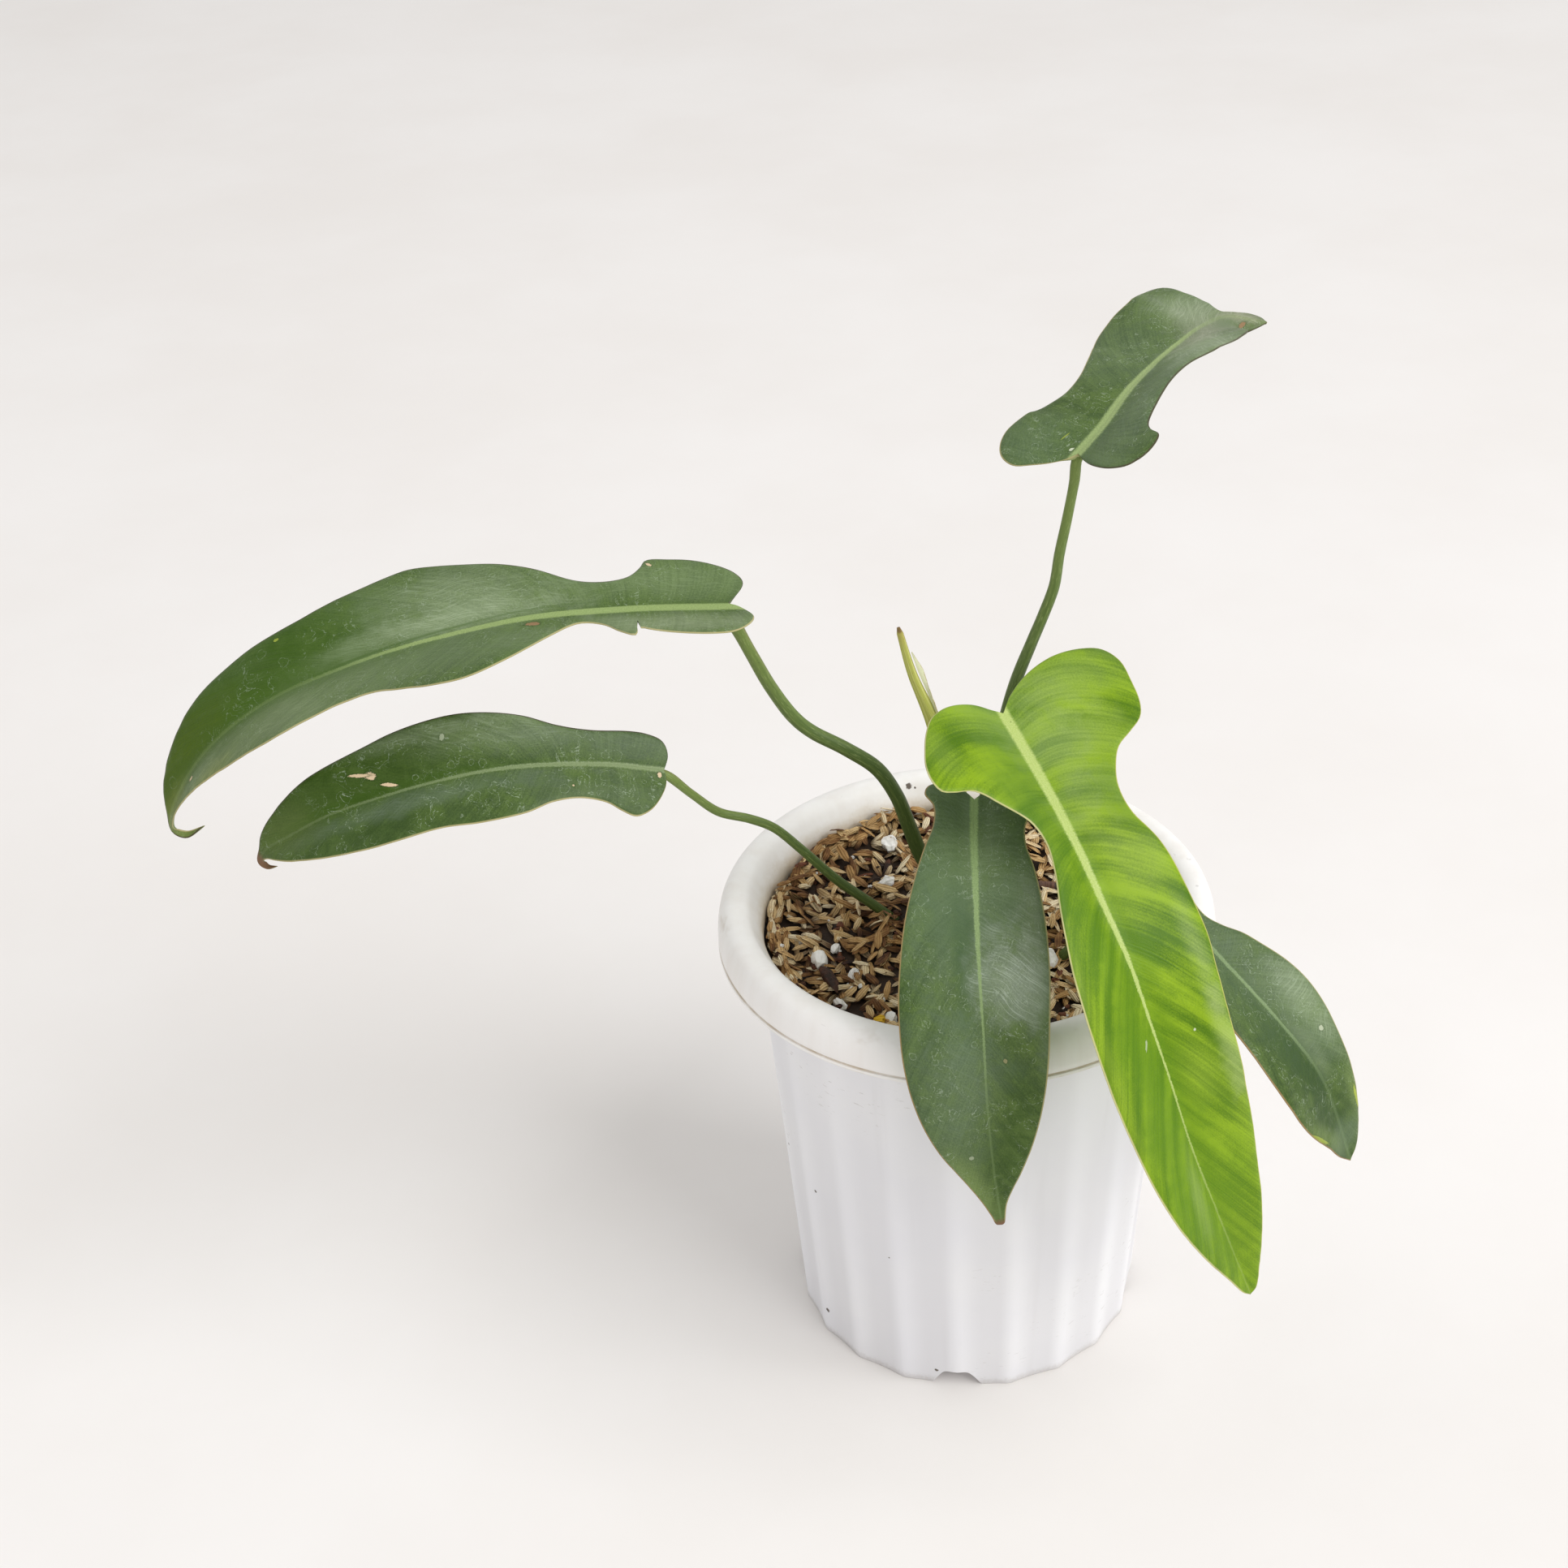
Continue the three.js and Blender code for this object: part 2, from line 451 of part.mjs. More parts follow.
function pot() {
  const p = POT;
  const segments = FLUTES.count * FLUTES.facesEach;
  const geometry = new THREE.LatheGeometry(potProfile(), segments, radians(FLUTES.ridgeAngle));
  geometry.rotateX(Math.PI / 2);
  const position = geometry.attributes.position;
  const collarFoot = p.height - p.collarHeight;
  for (let i = 0; i < position.count; i += 1) {
    const [x, y, z] = [position.getX(i), position.getY(i), position.getZ(i)];
    const radius = Math.hypot(x, y);
    const cone = THREE.MathUtils.lerp(p.baseRadius, p.bodyTopRadius, z / collarFoot);
    if (radius > cone - p.wall / 2 && z < collarFoot) {
      // The angle is counted from the front, positive towards +X.
      const scale = 1 - fluteDepth(Math.atan2(x, -y), z) / radius;
      position.setXY(i, x * scale, y * scale);
    }
  }
  const drains = Array.from({ length: DRAIN.count }, (_, index) => drainHole(index));
  const notches = Array.from({ length: NOTCH.count }, (_, index) => footNotch(index));
  return cut(toSolid(geometry), ...drains, ...notches);
}

// Growing medium

/** One husk: a long pointed grain with a ridge along its back, rooted well below the surface. */
function husk(size) {
  const geometry = new THREE.OctahedronGeometry(1, 0);
  geometry.scale((size * HUSK.length) / 2, (size * HUSK.width) / 2, 1);
  const position = geometry.attributes.position;
  for (let i = 0; i < position.count; i += 1) {
    const z = position.getZ(i);
    position.setZ(i, z > 0 ? z * HUSK.height : z * HUSK.root);
  }
  return geometry;
}

const soilLevel = (y) => SOIL.level + SOIL.rise * y;

/** White angular grain, partly sunk. */
function perliteGrain(x, y, radius, turn) {
  const geometry = new THREE.IcosahedronGeometry(radius, 0);
  geometry.scale(...PERLITE_FORM.scale);
  geometry.rotateZ(turn);
  geometry.translate(x, y, soilLevel(y) + PERLITE_FORM.lift + radius * PERLITE_FORM.liftPerRadius);
  return geometry;
}

/** The pot's filling with its husks and grains as one body, and a plain hole for each stem. */
function growingMedium(...stems) {
  const p = POT;
  const top = SOIL.topRadius - GAP;
  const edge = SOIL.level - SOIL.crown;
  const profile = [
    [0, p.floorTop + GAP], [p.baseRadius - p.wall - 3 - GAP, p.floorTop + GAP],
    [p.baseRadius - p.wall - 1 - GAP, p.floorTop + 2 + GAP], [top - GAP, edge - 8], [top, edge],
    [top - SOIL.shoulder, SOIL.level], [0, SOIL.level + SOIL.crown],
  ];
  const fill = new THREE.LatheGeometry(profile.map(([r, z]) => new THREE.Vector2(r, z)), SOIL.sides);
  fill.rotateX(Math.PI / 2);
  const position = fill.attributes.position;
  for (let i = 0; i < position.count; i += 1) {
    const [y, z] = [position.getY(i), position.getZ(i)];
    if (z > edge - 1) position.setZ(i, z + SOIL.rise * y);
  }
  const random = randomNumbers(HUSK.seed);
  const goldenAngle = Math.PI * (3 - Math.sqrt(5));
  let medium = toSolid(fill);
  for (let i = 0; i < HUSK.count; i += 1) {
    const radius = HUSK.reach * Math.sqrt((i + 0.5) / HUSK.count);
    const angle = i * goldenAngle;
    const [x, y] = [radius * Math.cos(angle), radius * Math.sin(angle)];
    const grain = husk(HUSK.smallest + HUSK.spread * random());
    grain.rotateY(radians(HUSK.tilt * (random() - 0.5)));
    grain.rotateZ(Math.PI * random());
    grain.translate(x, y, soilLevel(y) + HUSK.lift + random());
    medium = medium.add(toSolid(grain));
  }
  for (const [x, y, radius] of PERLITE) {
    medium = medium.add(toSolid(perliteGrain(x, y, radius, Math.PI * random())));
  }
  const trim = new THREE.CylinderGeometry(top, top, 2 * p.height, SOIL.sides);
  trim.rotateX(Math.PI / 2);
  return cut(medium.intersect(toSolid(trim)), ...stems);
}

// Assembly

const COLOURS = {
  pot: { color: 0xf1f0ee, roughness: 0.38 },
  growing_medium: { color: 0xa87c4a, roughness: 0.9 },
  stem: { color: 0x5d7a3a, roughness: 0.6 },
  aerial_root: { color: 0x3b2620, roughness: 0.8 },
  sheath: { color: 0xb4c26a, roughness: 0.5 },
  darkBlade: { color: 0x2f5a34, roughness: 0.35 },
  limeBlade: { color: 0x86b52e, roughness: 0.35 },
  stalk: { color: 0x4f7a3f, roughness: 0.5 },
};

const plant = new THREE.Group();

function addPiece(name, solid, look) {
  const material = new THREE.MeshStandardMaterial({ ...look, metalness: 0 });
  const mesh = new THREE.Mesh(toGeometry(solid), material);
  mesh.name = name;
  plant.add(mesh);
}

const stalkTube = (leaf, grow = 0) => tube({ line: leaf.stalk, radii: leaf.stalkRadii }, grow);
const grownStem = tube(STEM, GAP);
const { upper_left, lower_left, top, lime, front, right } = LEAVES;

// Stalks that meet at the crown make room for each other in this order.
const stalks = {};
for (const [name, leaf] of Object.entries(LEAVES)) {
  const neighbours = Object.keys(stalks).map((other) => stalkTube(LEAVES[other], GAP));
  stalks[name] = cut(stalkTube(leaf), grownStem, blade(leaf, GAP), ...neighbours);
}
const grownStalks = (...leaves) => leaves.map((leaf) => stalkTube(leaf, GAP));
const sheath = cut(tube(SHEATH), grownStem, ...grownStalks(upper_left, top, lime, front));
const aerialRoot = cut(tube(AERIAL_ROOT), grownStem, ...grownStalks(top, lime, front, right));
const medium = growingMedium(
  grownStem,
  tube(AERIAL_ROOT, GAP),
  ...grownStalks(upper_left, lower_left, right),
);

addPiece('pot', pot(), COLOURS.pot);
addPiece('growing_medium', medium, COLOURS.growing_medium);
addPiece('stem', tube(STEM), COLOURS.stem);
addPiece('aerial_root', aerialRoot, COLOURS.aerial_root);
addPiece('leaf_sheath', sheath, COLOURS.sheath);
for (const [name, leaf] of Object.entries(LEAVES)) {
  addPiece(`stalk_${name}`, stalks[name], COLOURS.stalk);
  addPiece(`blade_${name}`, blade(leaf), name === 'lime' ? COLOURS.limeBlade : COLOURS.darkBlade);
}

export default plant;
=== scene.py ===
"""Potted hybrid philodendron: the finish of every piece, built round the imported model.

A fluted white plastic pot with a rolled collar holds a pile of rice husks, bark and perlite.
One plant stands in it: a short stem, a pointed sheath and six leaves on long stalks.
Shapes are worked out in millimetres and written to the meshes in metres.
"""

import math
import random

import bmesh
import bpy
import numpy as np
from mathutils import Matrix, Vector, noise


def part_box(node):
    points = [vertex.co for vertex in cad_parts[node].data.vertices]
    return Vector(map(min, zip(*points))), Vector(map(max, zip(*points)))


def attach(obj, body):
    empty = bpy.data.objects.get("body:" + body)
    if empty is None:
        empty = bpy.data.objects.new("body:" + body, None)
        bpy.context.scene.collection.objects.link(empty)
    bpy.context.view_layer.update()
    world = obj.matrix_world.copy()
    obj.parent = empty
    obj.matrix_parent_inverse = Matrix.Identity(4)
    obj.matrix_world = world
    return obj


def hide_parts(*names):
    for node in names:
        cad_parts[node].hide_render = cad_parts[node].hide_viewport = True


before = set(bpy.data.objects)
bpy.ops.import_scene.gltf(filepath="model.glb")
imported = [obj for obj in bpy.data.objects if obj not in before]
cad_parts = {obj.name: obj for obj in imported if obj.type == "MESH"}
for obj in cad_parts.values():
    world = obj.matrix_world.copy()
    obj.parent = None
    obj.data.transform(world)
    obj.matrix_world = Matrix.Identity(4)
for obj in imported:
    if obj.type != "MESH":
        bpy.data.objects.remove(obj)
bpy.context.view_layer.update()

bl_info = {
    "name": "Potted Philodendron",
    "version": (1, 0, 0),
    "blender": (4, 5, 0),
    "location": "View3D > Sidebar > Plant",
    "description": "Builds the pot, its filling, and a philodendron with six leaves",
    "category": "Add Mesh",
}

MM = 0.001

# Pot, in millimetres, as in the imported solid

RIM_RADIUS = 90.0
POT_HEIGHT = (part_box("pot")[1] / MM).z
CREST_RADIUS = 82.5
MOUTH_RADIUS = 74.2
MOUTH_HEIGHT = 173.7
COLLAR_HEIGHT = 16.6
COLLAR_FOOT = POT_HEIGHT - COLLAR_HEIGHT
LIP_HEIGHT = 2.0
SHOULDER_POWER = 0.72  # how much squarer than a circle the collar's shoulder is
BODY_TOP_RADIUS = 76.1
BASE_RADIUS = 64.5
WALL = 2.4
FLOOR_TOP = 6.2
RECESS = 3.6
PAD_RADIUS = 30.0
FOOT_INNER = 57.0
DRAFT = 1.5
INNER_EDGE = 164.7
FLUTE_COUNT = 20
FLUTE_DEPTH = 1.5
FLUTE_SOFTNESS = 0.12  # of the ridges between the flutes, as a share of their depth
RIDGE_ANGLE = -3.5
NOTCH_COUNT = 4
NOTCH_FOOT = 19.6
NOTCH_TOP = 9.6
NOTCH_HEIGHT = 8.4
NOTCH_INNER_HEIGHT = 3.4
NOTCH_START, NOTCH_END = 56.0, 66.0
NOTCH_BEVEL = 1.6
DRAIN_COUNT = 8
DRAIN_RADIUS = 4.5
DRAIN_CIRCLE = 43.5

# Growing medium

SOIL_LEVEL = 167.6
SOIL_RISE = 0.055
SOIL_RADIUS = 73.1
SOIL_SHOULDER = 9.0  # height of the filling's upright edge
BED_DEPTH = 3.0  # of the dark bed under the husks, below the level of the filling
BED_RINGS = 14
BED_CROWN = 1.4  # how much the bed swells in the middle
BED_BRIM = 1.6  # how far it climbs the wall
BED_ROUGHNESS = 0.7
# Larger white grains that lie on top: place and radius
PERLITE = [
    (-52, -19.4, 4.2), (-47, -10.7, 2.2), (-39.7, -27.5, 2.6), (-44.1, -42.5, 2.6), (-39, -50.6, 2.6),
    (-26.5, -51, 3.0), (-28.3, 48.6, 4.2), (-28.8, 27.2, 2.8), (29.7, -18.8, 4.4), (46, 34, 3.4),
    (12, 52, 2.6),
]

# Stem, aerial root and sheath: centre line and radii from one end to the other

STEM = {
    "line": [(1, 8, 136), (3, 8, 160), (3, 6, 184), (3, 5, 202)],
    "radii": [6.5, 7.0, 6.2, 3.8],
    "scars": (5.3, 0.5, 0.09),  # number of leaf scars, their height, and width as a share of their spacing
    "lumps": 0.35,
}
AERIAL_ROOT = {
    "line": [(7, 12, 171), (19, 20, 171.5), (34, 22, 170.5), (47, 18, 166), (54, 12, 154)],
    "radii": [1.7, 1.6, 1.4, 1.3, 1.2],
    "uneven": 0.22,
}
SHEATH = {
    "line": [(0.5, 8, 190), (-4, 9, 222), (-10.9, 8, 250.5), (-18, 8, 270.3), (-22.5, 8, 288.7)],
    "radii": [3.4, 4.6, 3.3, 1.9, 1.1],
    "flatness": 0.62,
    "lap": 0.35,  # height of the edge that laps over in front
}

# Thin edge of the sheath: where it leaves the spike and where it ends
MEMBRANE = {
    "inner": [(-18.2, 7.6, 279), (-16.2, 7.5, 272), (-13.2, 7.4, 264), (-9.6, 7.4, 254), (-6.4, 7.6, 243)],
    "outer": [(-18, 7.4, 279.4), (-14, 7.2, 271.4), (-11.6, 7, 263.4), (-8.4, 7, 253), (-5.4, 7.4, 241)],
    "thickness": 0.22,
    "torn": 0.35,
    "curl": 0.9,
}

# Leaves. midrib, stalk: points in space; face: the way the upper side looks at the base,
# middle and tip; fold: degrees that each half rises from the midrib; droop: degrees that a
# half bends back for each millimetre out; wave: height, length and phase of the edge's ruffle;
# right and left: the flat outline, along and out from the midrib, from the notch to the tip;
# tear: its mouth on the outline, its depth and its width at the mouth.
LEAVES = {
    "upper_left": {
        "midrib": [
            (-80, 1, 301.7), (-112, -3, 303.4), (-146, -8.5, 303.3), (-173.5, -13, 299),
            (-194, -16.7, 294.5), (-214.8, -20.4, 288), (-232.2, -22.5, 281), (-251.7, -25, 268.4),
            (-265.5, -25.6, 253.8), (-275.8, -26.8, 235.6), (-276.3, -27, 229.9), (-272, -27, 227.5),
            (-265, -27, 231.3),
        ],
        "face": [(0.07, -0.15, 0.99), (-0.19, -0.28, 0.94), (-0.66, -0.63, 0.41)],
        "fold": [16, 16, 14],
        "droop": 0.3,
        "wave": (1.6, 74, 0.4),
        "right": [
            (0, 0), (-5.7, 9.5), (-3, 14), (7.3, 19), (19, 21.4), (27, 21.5), (29, 18), (33, 14),
            (41.5, 12), (51, 13.2), (64, 19.2), (84.3, 27.5), (95.3, 31.5), (106, 33.6), (116, 31.5),
            (125, 28.8), (139.5, 25), (152, 23.2), (165, 23), (176.5, 21.7), (189.5, 18.6),
            (200.6, 14.3), (210, 10.8), (217, 7.5), (220, 5), (223, 2.6), (226.2, 1.6), (234, 1.3),
            (240.7, 0),
        ],
        "left": [
            (0, 0), (-5, -2.8), (-8.5, -8.2), (-6.4, -15.3), (0, -21), (13, -21.5), (27, -17),
            (30, -15.6), (31.6, -20), (37, -16.4), (42.6, -11), (50, -8.6), (60, -14.6), (76.6, -27),
            (88, -31.2), (99.5, -30), (111, -25.2), (122.8, -20.2), (134.5, -19.2), (145.3, -20.7),
            (155, -21.9), (164.7, -20.9), (172.4, -18.7), (183.3, -15.4), (196.8, -10.7),
            (209.8, -5.7), (219, -2.9), (225.3, -1.9), (229.3, -1.6), (234, -1.2), (240.7, 0),
        ],
        "stalk": [
            (-80.2, 1, 299), (-77, 2, 291.5), (-73, 3, 281.5), (-66.5, 5, 266), (-59.5, 6, 254),
            (-53.5, 7, 247.5), (-41.5, 8, 239.5), (-31, 10, 230), (-24.5, 12, 217.5), (-20, 14, 202.5),
            (-15.5, 14, 189), (-8, 11, 178.5), (1, 8, 172),
        ],
        "tear": ((30.3, -16.4), 7.4, 1.8),
        "stalk_radii": (2.2, 3.1),
    },
    "lower_left": {
        "midrib": [
            (-104, -15, 245.4), (-121.5, -20, 251), (-141.5, -25, 254.3), (-161.5, -30, 255.3),
            (-182, -34, 252.7), (-201.5, -37, 248), (-217.5, -39, 242.8), (-231, -40, 235.5),
            (-240.5, -40, 229.5), (-242.8, -40, 225.3), (-241, -40, 222.6), (-237.5, -40, 223),
        ],
        "face": [(0.2, -0.6, 0.77), (0, -0.64, 0.77), (-0.35, -0.65, 0.67)],
        "fold": [10, 12, 10],
        "droop": 0.3,
        "wave": (1.1, 46, 1.2),
        "right": [
            (0, 0), (-1.4, 5.7), (0.8, 10.4), (7.5, 12.6), (26, 12.2), (37, 14), (48, 18.2), (58, 20.7),
            (68, 21.8), (80, 21.3), (91, 20.5), (103, 18.8), (114.5, 16.7), (126, 14.2), (137, 10.8),
            (143.5, 7), (147.5, 2.5), (151, 1.5), (157.4, 0),
        ],
        "left": [
            (0, 0), (-1, -4), (0.5, -9), (4.8, -15.5), (10, -18.4), (15.3, -16.8), (21, -14),
            (30, -12.7), (40, -14), (50, -17.5), (66, -18.7), (79, -17.6), (96.5, -17.9), (110, -17),
            (123.5, -14.4), (135, -9.8), (143, -5.6), (149, -1.8), (152, -1.5), (157.4, 0),
        ],
        "stalk": [
            (-103.5, -15, 244), (-95.2, -12, 234), (-86.3, -9, 224.4), (-76, -6, 219.5), (-68, -4, 214.5),
            (-58.5, -1, 203), (-46.5, 3, 187), (-34, 6, 174), (-26.6, 8, 166), (-15, 9, 156), (0, 8, 148),
        ],
        "stalk_radii": (1.5, 2.1),
    },
    "top": {
        "midrib": [
            (37.7, 9.4, 352.2), (45.5, 18.8, 357), (55, 37, 361.5), (64.5, 55, 363), (74, 72.6, 363),
            (83.6, 88, 363), (93, 97, 363), (107, 98, 360),
        ],
        "face": [(-0.32, -0.19, 0.93), (-0.23, 0.05, 0.97), (0.1, -0.3, 0.95)],
        "fold": [16, 16, 16, 16, -20],
        "droop": 0.3,
        "wave": (1.0, 62, 2.4),
        "right": [
            (0, 0), (-3, 5.4), (-5, 11.3), (-5.4, 18.3), (-3.2, 24.3), (2.8, 27.7), (7.5, 28.6),
            (10.4, 27.4), (12, 22), (14, 19.5), (22.6, 17.6), (31, 17), (42, 16.6), (49.5, 17.7),
            (54.6, 20.7), (58, 22.8), (66, 23.6), (78.7, 22.8), (84.3, 22), (92, 18.7), (99, 14),
            (103.7, 11.6), (110.5, 8.3), (116.5, 3.6), (120.4, 0),
        ],
        "left": [
            (0, 0), (-4, -2.9), (-11, -11.3), (-14.2, -16.5), (-13, -22), (-8.8, -25.8), (-2, -28.2),
            (5.8, -28), (12.5, -27.5), (20.7, -24.4), (29.5, -20.6), (38, -20), (50.3, -22.4),
            (67.5, -27), (81, -28.8), (89.8, -28.4), (97, -29.6), (101.6, -29), (103.6, -20.5),
            (104.7, -12), (105.3, -4), (109.5, -3.5), (114.5, -5), (118.5, -4.5), (120.4, 0),
        ],
        "stalk": [
            (37.5, 11, 350.5), (36.5, 10, 342.5), (34.3, 10, 328.6), (32, 10, 315.3), (30.4, 10, 303),
            (26.8, 10, 291.6), (23, 10, 281), (17, 10, 263), (10.5, 9, 233), (5.5, 7, 204), (3, 6, 186),
        ],
        "stalk_radii": (1.65, 2.8),
    },
    "lime": {
        "midrib": [
            (12.8, -22.7, 272), (20, -36.8, 265.8), (28, -53, 258.6), (36, -69.3, 250),
            (44.3, -83.7, 236.8), (52.5, -95, 221.8), (59, -102.5, 204.4), (65.3, -107.2, 186.2),
            (73.6, -111, 159.3), (82.5, -112.4, 134.2), (96.5, -110.9, 93.8),
        ],
        "face": [(0.26, -0.29, 0.92), (0.5, -0.74, 0.45), (0.62, -0.76, 0.21)],
        "fold": [16, 16, 14],
        "droop": 0.3,
        "wave": (1.4, 82, 3.6),
        "right": [
            (0, 0), (-3.3, 5.7), (-5.5, 12), (-5.6, 20), (-2.3, 27.5), (4.5, 33.7), (12.4, 38.4),
            (20, 41.7), (27, 42.6), (31, 41.2), (32.1, 36.7), (32.7, 29.6), (39, 21), (46.3, 13.2),
            (53.7, 11.4), (62.6, 13), (73.4, 17), (83.5, 20.3), (95.2, 24), (105.7, 25.6), (118, 25.7),
            (130.4, 25.3), (145.5, 23.6), (165.3, 21), (185.7, 18), (206.4, 12), (223.2, 5.9),
            (232.6, 2.6), (236.2, 0),
        ],
        "left": [
            (0, 0), (-2, -2), (-6.2, -5.5), (-12.4, -15), (-15.8, -26.7), (-15.7, -37), (-13.4, -44.2),
            (-7.5, -48.4), (1, -48.7), (9.2, -48), (15.2, -45), (19.8, -38.7), (24.5, -31.6),
            (31.2, -26.8), (40, -23), (51, -22.6), (64, -27), (75.5, -29), (97.2, -30), (111.5, -28.3),
            (132, -26), (152, -25.2), (172.6, -24.3), (193.3, -19.3), (210, -14), (227.3, -7.2),
            (235, -3), (236.2, 0),
        ],
        "stalk": [
            (15.5, -24.5, 269), (12.2, -19, 262), (9.5, -12, 245), (7, -4, 222), (5, 2, 203), (4, 4, 187),
        ],
        "stalk_radii": (2.3, 3.1),
    },
    "front": {
        "midrib": [
            (3.2, -36, 246.5), (3, -50, 241), (3.6, -70, 229.7), (4.6, -85, 211.7), (5.9, -96, 194.4),
            (7, -101, 170.4), (9.2, -102, 142.3), (12.2, -100.9, 115.6),
        ],
        "face": [(-0.02, -0.36, 0.93), (-0.1, -0.9, 0.41), (0.1, -0.99, 0.02)],
        "fold": [10, 10, 10],
        "droop": 0.2,
        "wave": (0.8, 58, 5.1),
        "right": [
            (0, 0), (-4.5, 4.6), (-6.4, 10.6), (-4.9, 15.6), (-1.4, 16.8), (3.6, 13.8), (11, 13.7),
            (19.6, 16.7), (32.2, 20.8), (44.7, 24), (58.4, 26), (75, 27.5), (93, 27), (109, 23.7),
            (125.6, 17.5), (140, 10), (150, 5.6), (157, 3.2), (161.4, 1.8), (161.9, 0),
        ],
        "left": [
            (0, 0), (-4.4, -5.4), (-6, -12.4), (-4, -18.4), (1, -20.4), (7, -19), (12, -17.3),
            (20, -17.4), (29, -19.8), (45, -22.6), (62.5, -23.4), (76.7, -22.6), (90, -21.4),
            (107, -19), (122.6, -15), (137, -9.6), (151.6, -3), (161.5, -0.8), (161.9, 0),
        ],
        "stalk": [(3.6, -37.5, 244), (3.5, -31, 236), (3.3, -20, 219), (3, -8, 199), (3, 3, 182)],
        "stalk_radii": (1.8, 2.5),
    },
    "right": {
        "midrib": [
            (58, -15, 212.8), (69.7, -28.8, 203), (84, -42, 189.7), (97, -52.6, 179.4),
            (108.2, -58.7, 168.4), (121.6, -62, 149.8), (135, -62, 111.4),
        ],
        "face": [(0.25, -0.35, 0.9), (0.5, -0.5, 0.7), (0.7, -0.65, 0.3)],
        "fold": [14, 14, 12],
        "droop": 0.3,
        "wave": (0.8, 52, 0.9),
        "right": [
            (0, 0), (-3.5, 6), (-3, 12), (2, 15.4), (10, 15), (19, 13.5), (30, 14), (43.4, 16.5),
            (57, 18.6), (69, 19.2), (77.6, 20.3), (89, 22), (98.7, 22.2), (109.5, 19.7), (120, 15.3),
            (130.6, 9), (138, 5.2), (144.7, 0),
        ],
        "left": [
            (0, 0), (-3.5, -4), (-3.6, -6.8), (-0.5, -8.4), (6.5, -8.6), (15.7, -7.8), (26, -6.5),
            (34, -6.5), (40.7, -9.5), (47, -13.4), (53.8, -15.7), (66.4, -18.8), (79, -19.7),
            (88, -18.7), (98.8, -15.8), (108, -14), (119.5, -12.5), (130.5, -9.9), (140, -5.7),
            (144.7, 0),
        ],
        "stalk": [
            (59, -17.5, 209.5), (54.5, -18, 203), (46, -19.5, 187), (33.8, -16, 166), (22, -7, 155),
            (6, 6, 148),
        ],
        "stalk_radii": (1.7, 2.2),
    },
}

TEAR_STRIP = 1.1  # width of the strip of faces that a tear takes out
RUFFLE_FULL = 25  # distance out where the edge's ruffle is full
RUFFLE_SHIFT = 1.9  # lag of the right edge's ruffle
GATHER = 0.4  # how much closer the rows lie at base and tip
LEAST_STEP = 0.05  # between rows, along the midrib
COLUMN_GATHER = 1.15  # how much closer the columns lie to the midrib
EDGE_COLUMN, EDGE_SHARE = 0.5, 0.3  # the last but one lies this far in, or at most this share

# Relief of a blade: half width of the rib at the base and what it loses up to the tip, then
# heights over the plain surface
RIB_HALF, RIB_LOSS = 2.6, 1.9
RIB_ABOVE, RIB_BELOW = 0.45, 1.3
FURROW = 0.25  # depth of the groove on either side of the rib
RIB_SINKS = 0.7  # share of its height that the rib loses up to the tip
FURROW_PLACE = 1.6  # from the midrib, in half widths of the rib
EDGE_ROLL = 0.45  # how far the edge turns down
SWAY = 0.5  # slow waves of a whole half
EDGE_ROUNDING = 1.2  # distance from the edge over which the blade thins

# Side veins, as they run on a leaf of this length: their slant, how strongly they bend
# forward, and what the right half adds to that
VEIN_LEAF = 235
VEIN_SLANT = 0.7
VEIN_SWEEP, VEIN_SWEEP_RIGHT = 0.016, 0.005


def tone(red, green, blue):
    """A colour from screen values, 0 to 255, as Blender's linear colour."""
    parts = [part / 255 for part in (red, green, blue)]
    return tuple(part / 12.92 if part <= 0.04045 else ((part + 0.055) / 1.055) ** 2.4 for part in parts)


# Lines and surfaces worked out with numbers


class SmoothLine:
    """A centripetal Catmull-Rom line through points, read by the distance along it."""

    SAMPLES = 400

    def __init__(self, points):
        self.points = np.array(points, float)
        first, second = self.points[:2]
        last, before = self.points[-1], self.points[-2]
        self.padded = np.vstack([2 * first - second, self.points, 2 * last - before])
        self.shares = np.linspace(0, 1, self.SAMPLES + 1)
        steps = np.linalg.norm(np.diff(self.by_share(self.shares), axis=0), axis=1)
        self.marks = np.concatenate([[0], np.cumsum(steps)])
        self.length = self.marks[-1]

    def by_share(self, share):
        """Points at shares of the line's own parameter."""
        spans = len(self.points) - 1
        place = spans * np.clip(share, 0, 1)
        low = np.minimum(place.astype(int), spans - 1)
        w = (place - low)[:, None]
        p0, p1, p2, p3 = (self.padded[low + k] for k in range(4))
        d0, d1, d2 = (((b - a) ** 2).sum(1)[:, None] ** 0.25 for a, b in ((p0, p1), (p1, p2), (p2, p3)))
        t1 = ((p1 - p0) / d0 - (p2 - p0) / (d0 + d1) + (p2 - p1) / d1) * d1
        t2 = ((p2 - p1) / d1 - (p3 - p1) / (d1 + d2) + (p3 - p2) / d2) * d1
        return p1 + t1 * w + (3 * (p2 - p1) - 2 * t1 - t2) * w**2 + (2 * (p1 - p2) + t1 + t2) * w**3

    def at(self, distance):
        return self.by_share(np.interp(distance, self.marks, self.shares))

    def direction(self, distance):
        near = self.length / self.SAMPLES / 2
        ahead = self.at(np.clip(distance + near, 0, self.length))
        behind = self.at(np.clip(distance - near, 0, self.length))
        return unit(ahead - behind)


def unit(vectors):
    return vectors / np.maximum(np.linalg.norm(vectors, axis=-1, keepdims=True), 1e-12)


def spread(values, share):
    """Values of a list that is spread evenly over shares 0 to 1."""
    marks = np.linspace(0, 1, len(values))
    values = np.array(values, float)
    if values.ndim == 1:
        return np.interp(share, marks, values)
    return np.stack([np.interp(share, marks, column) for column in values.T], -1)


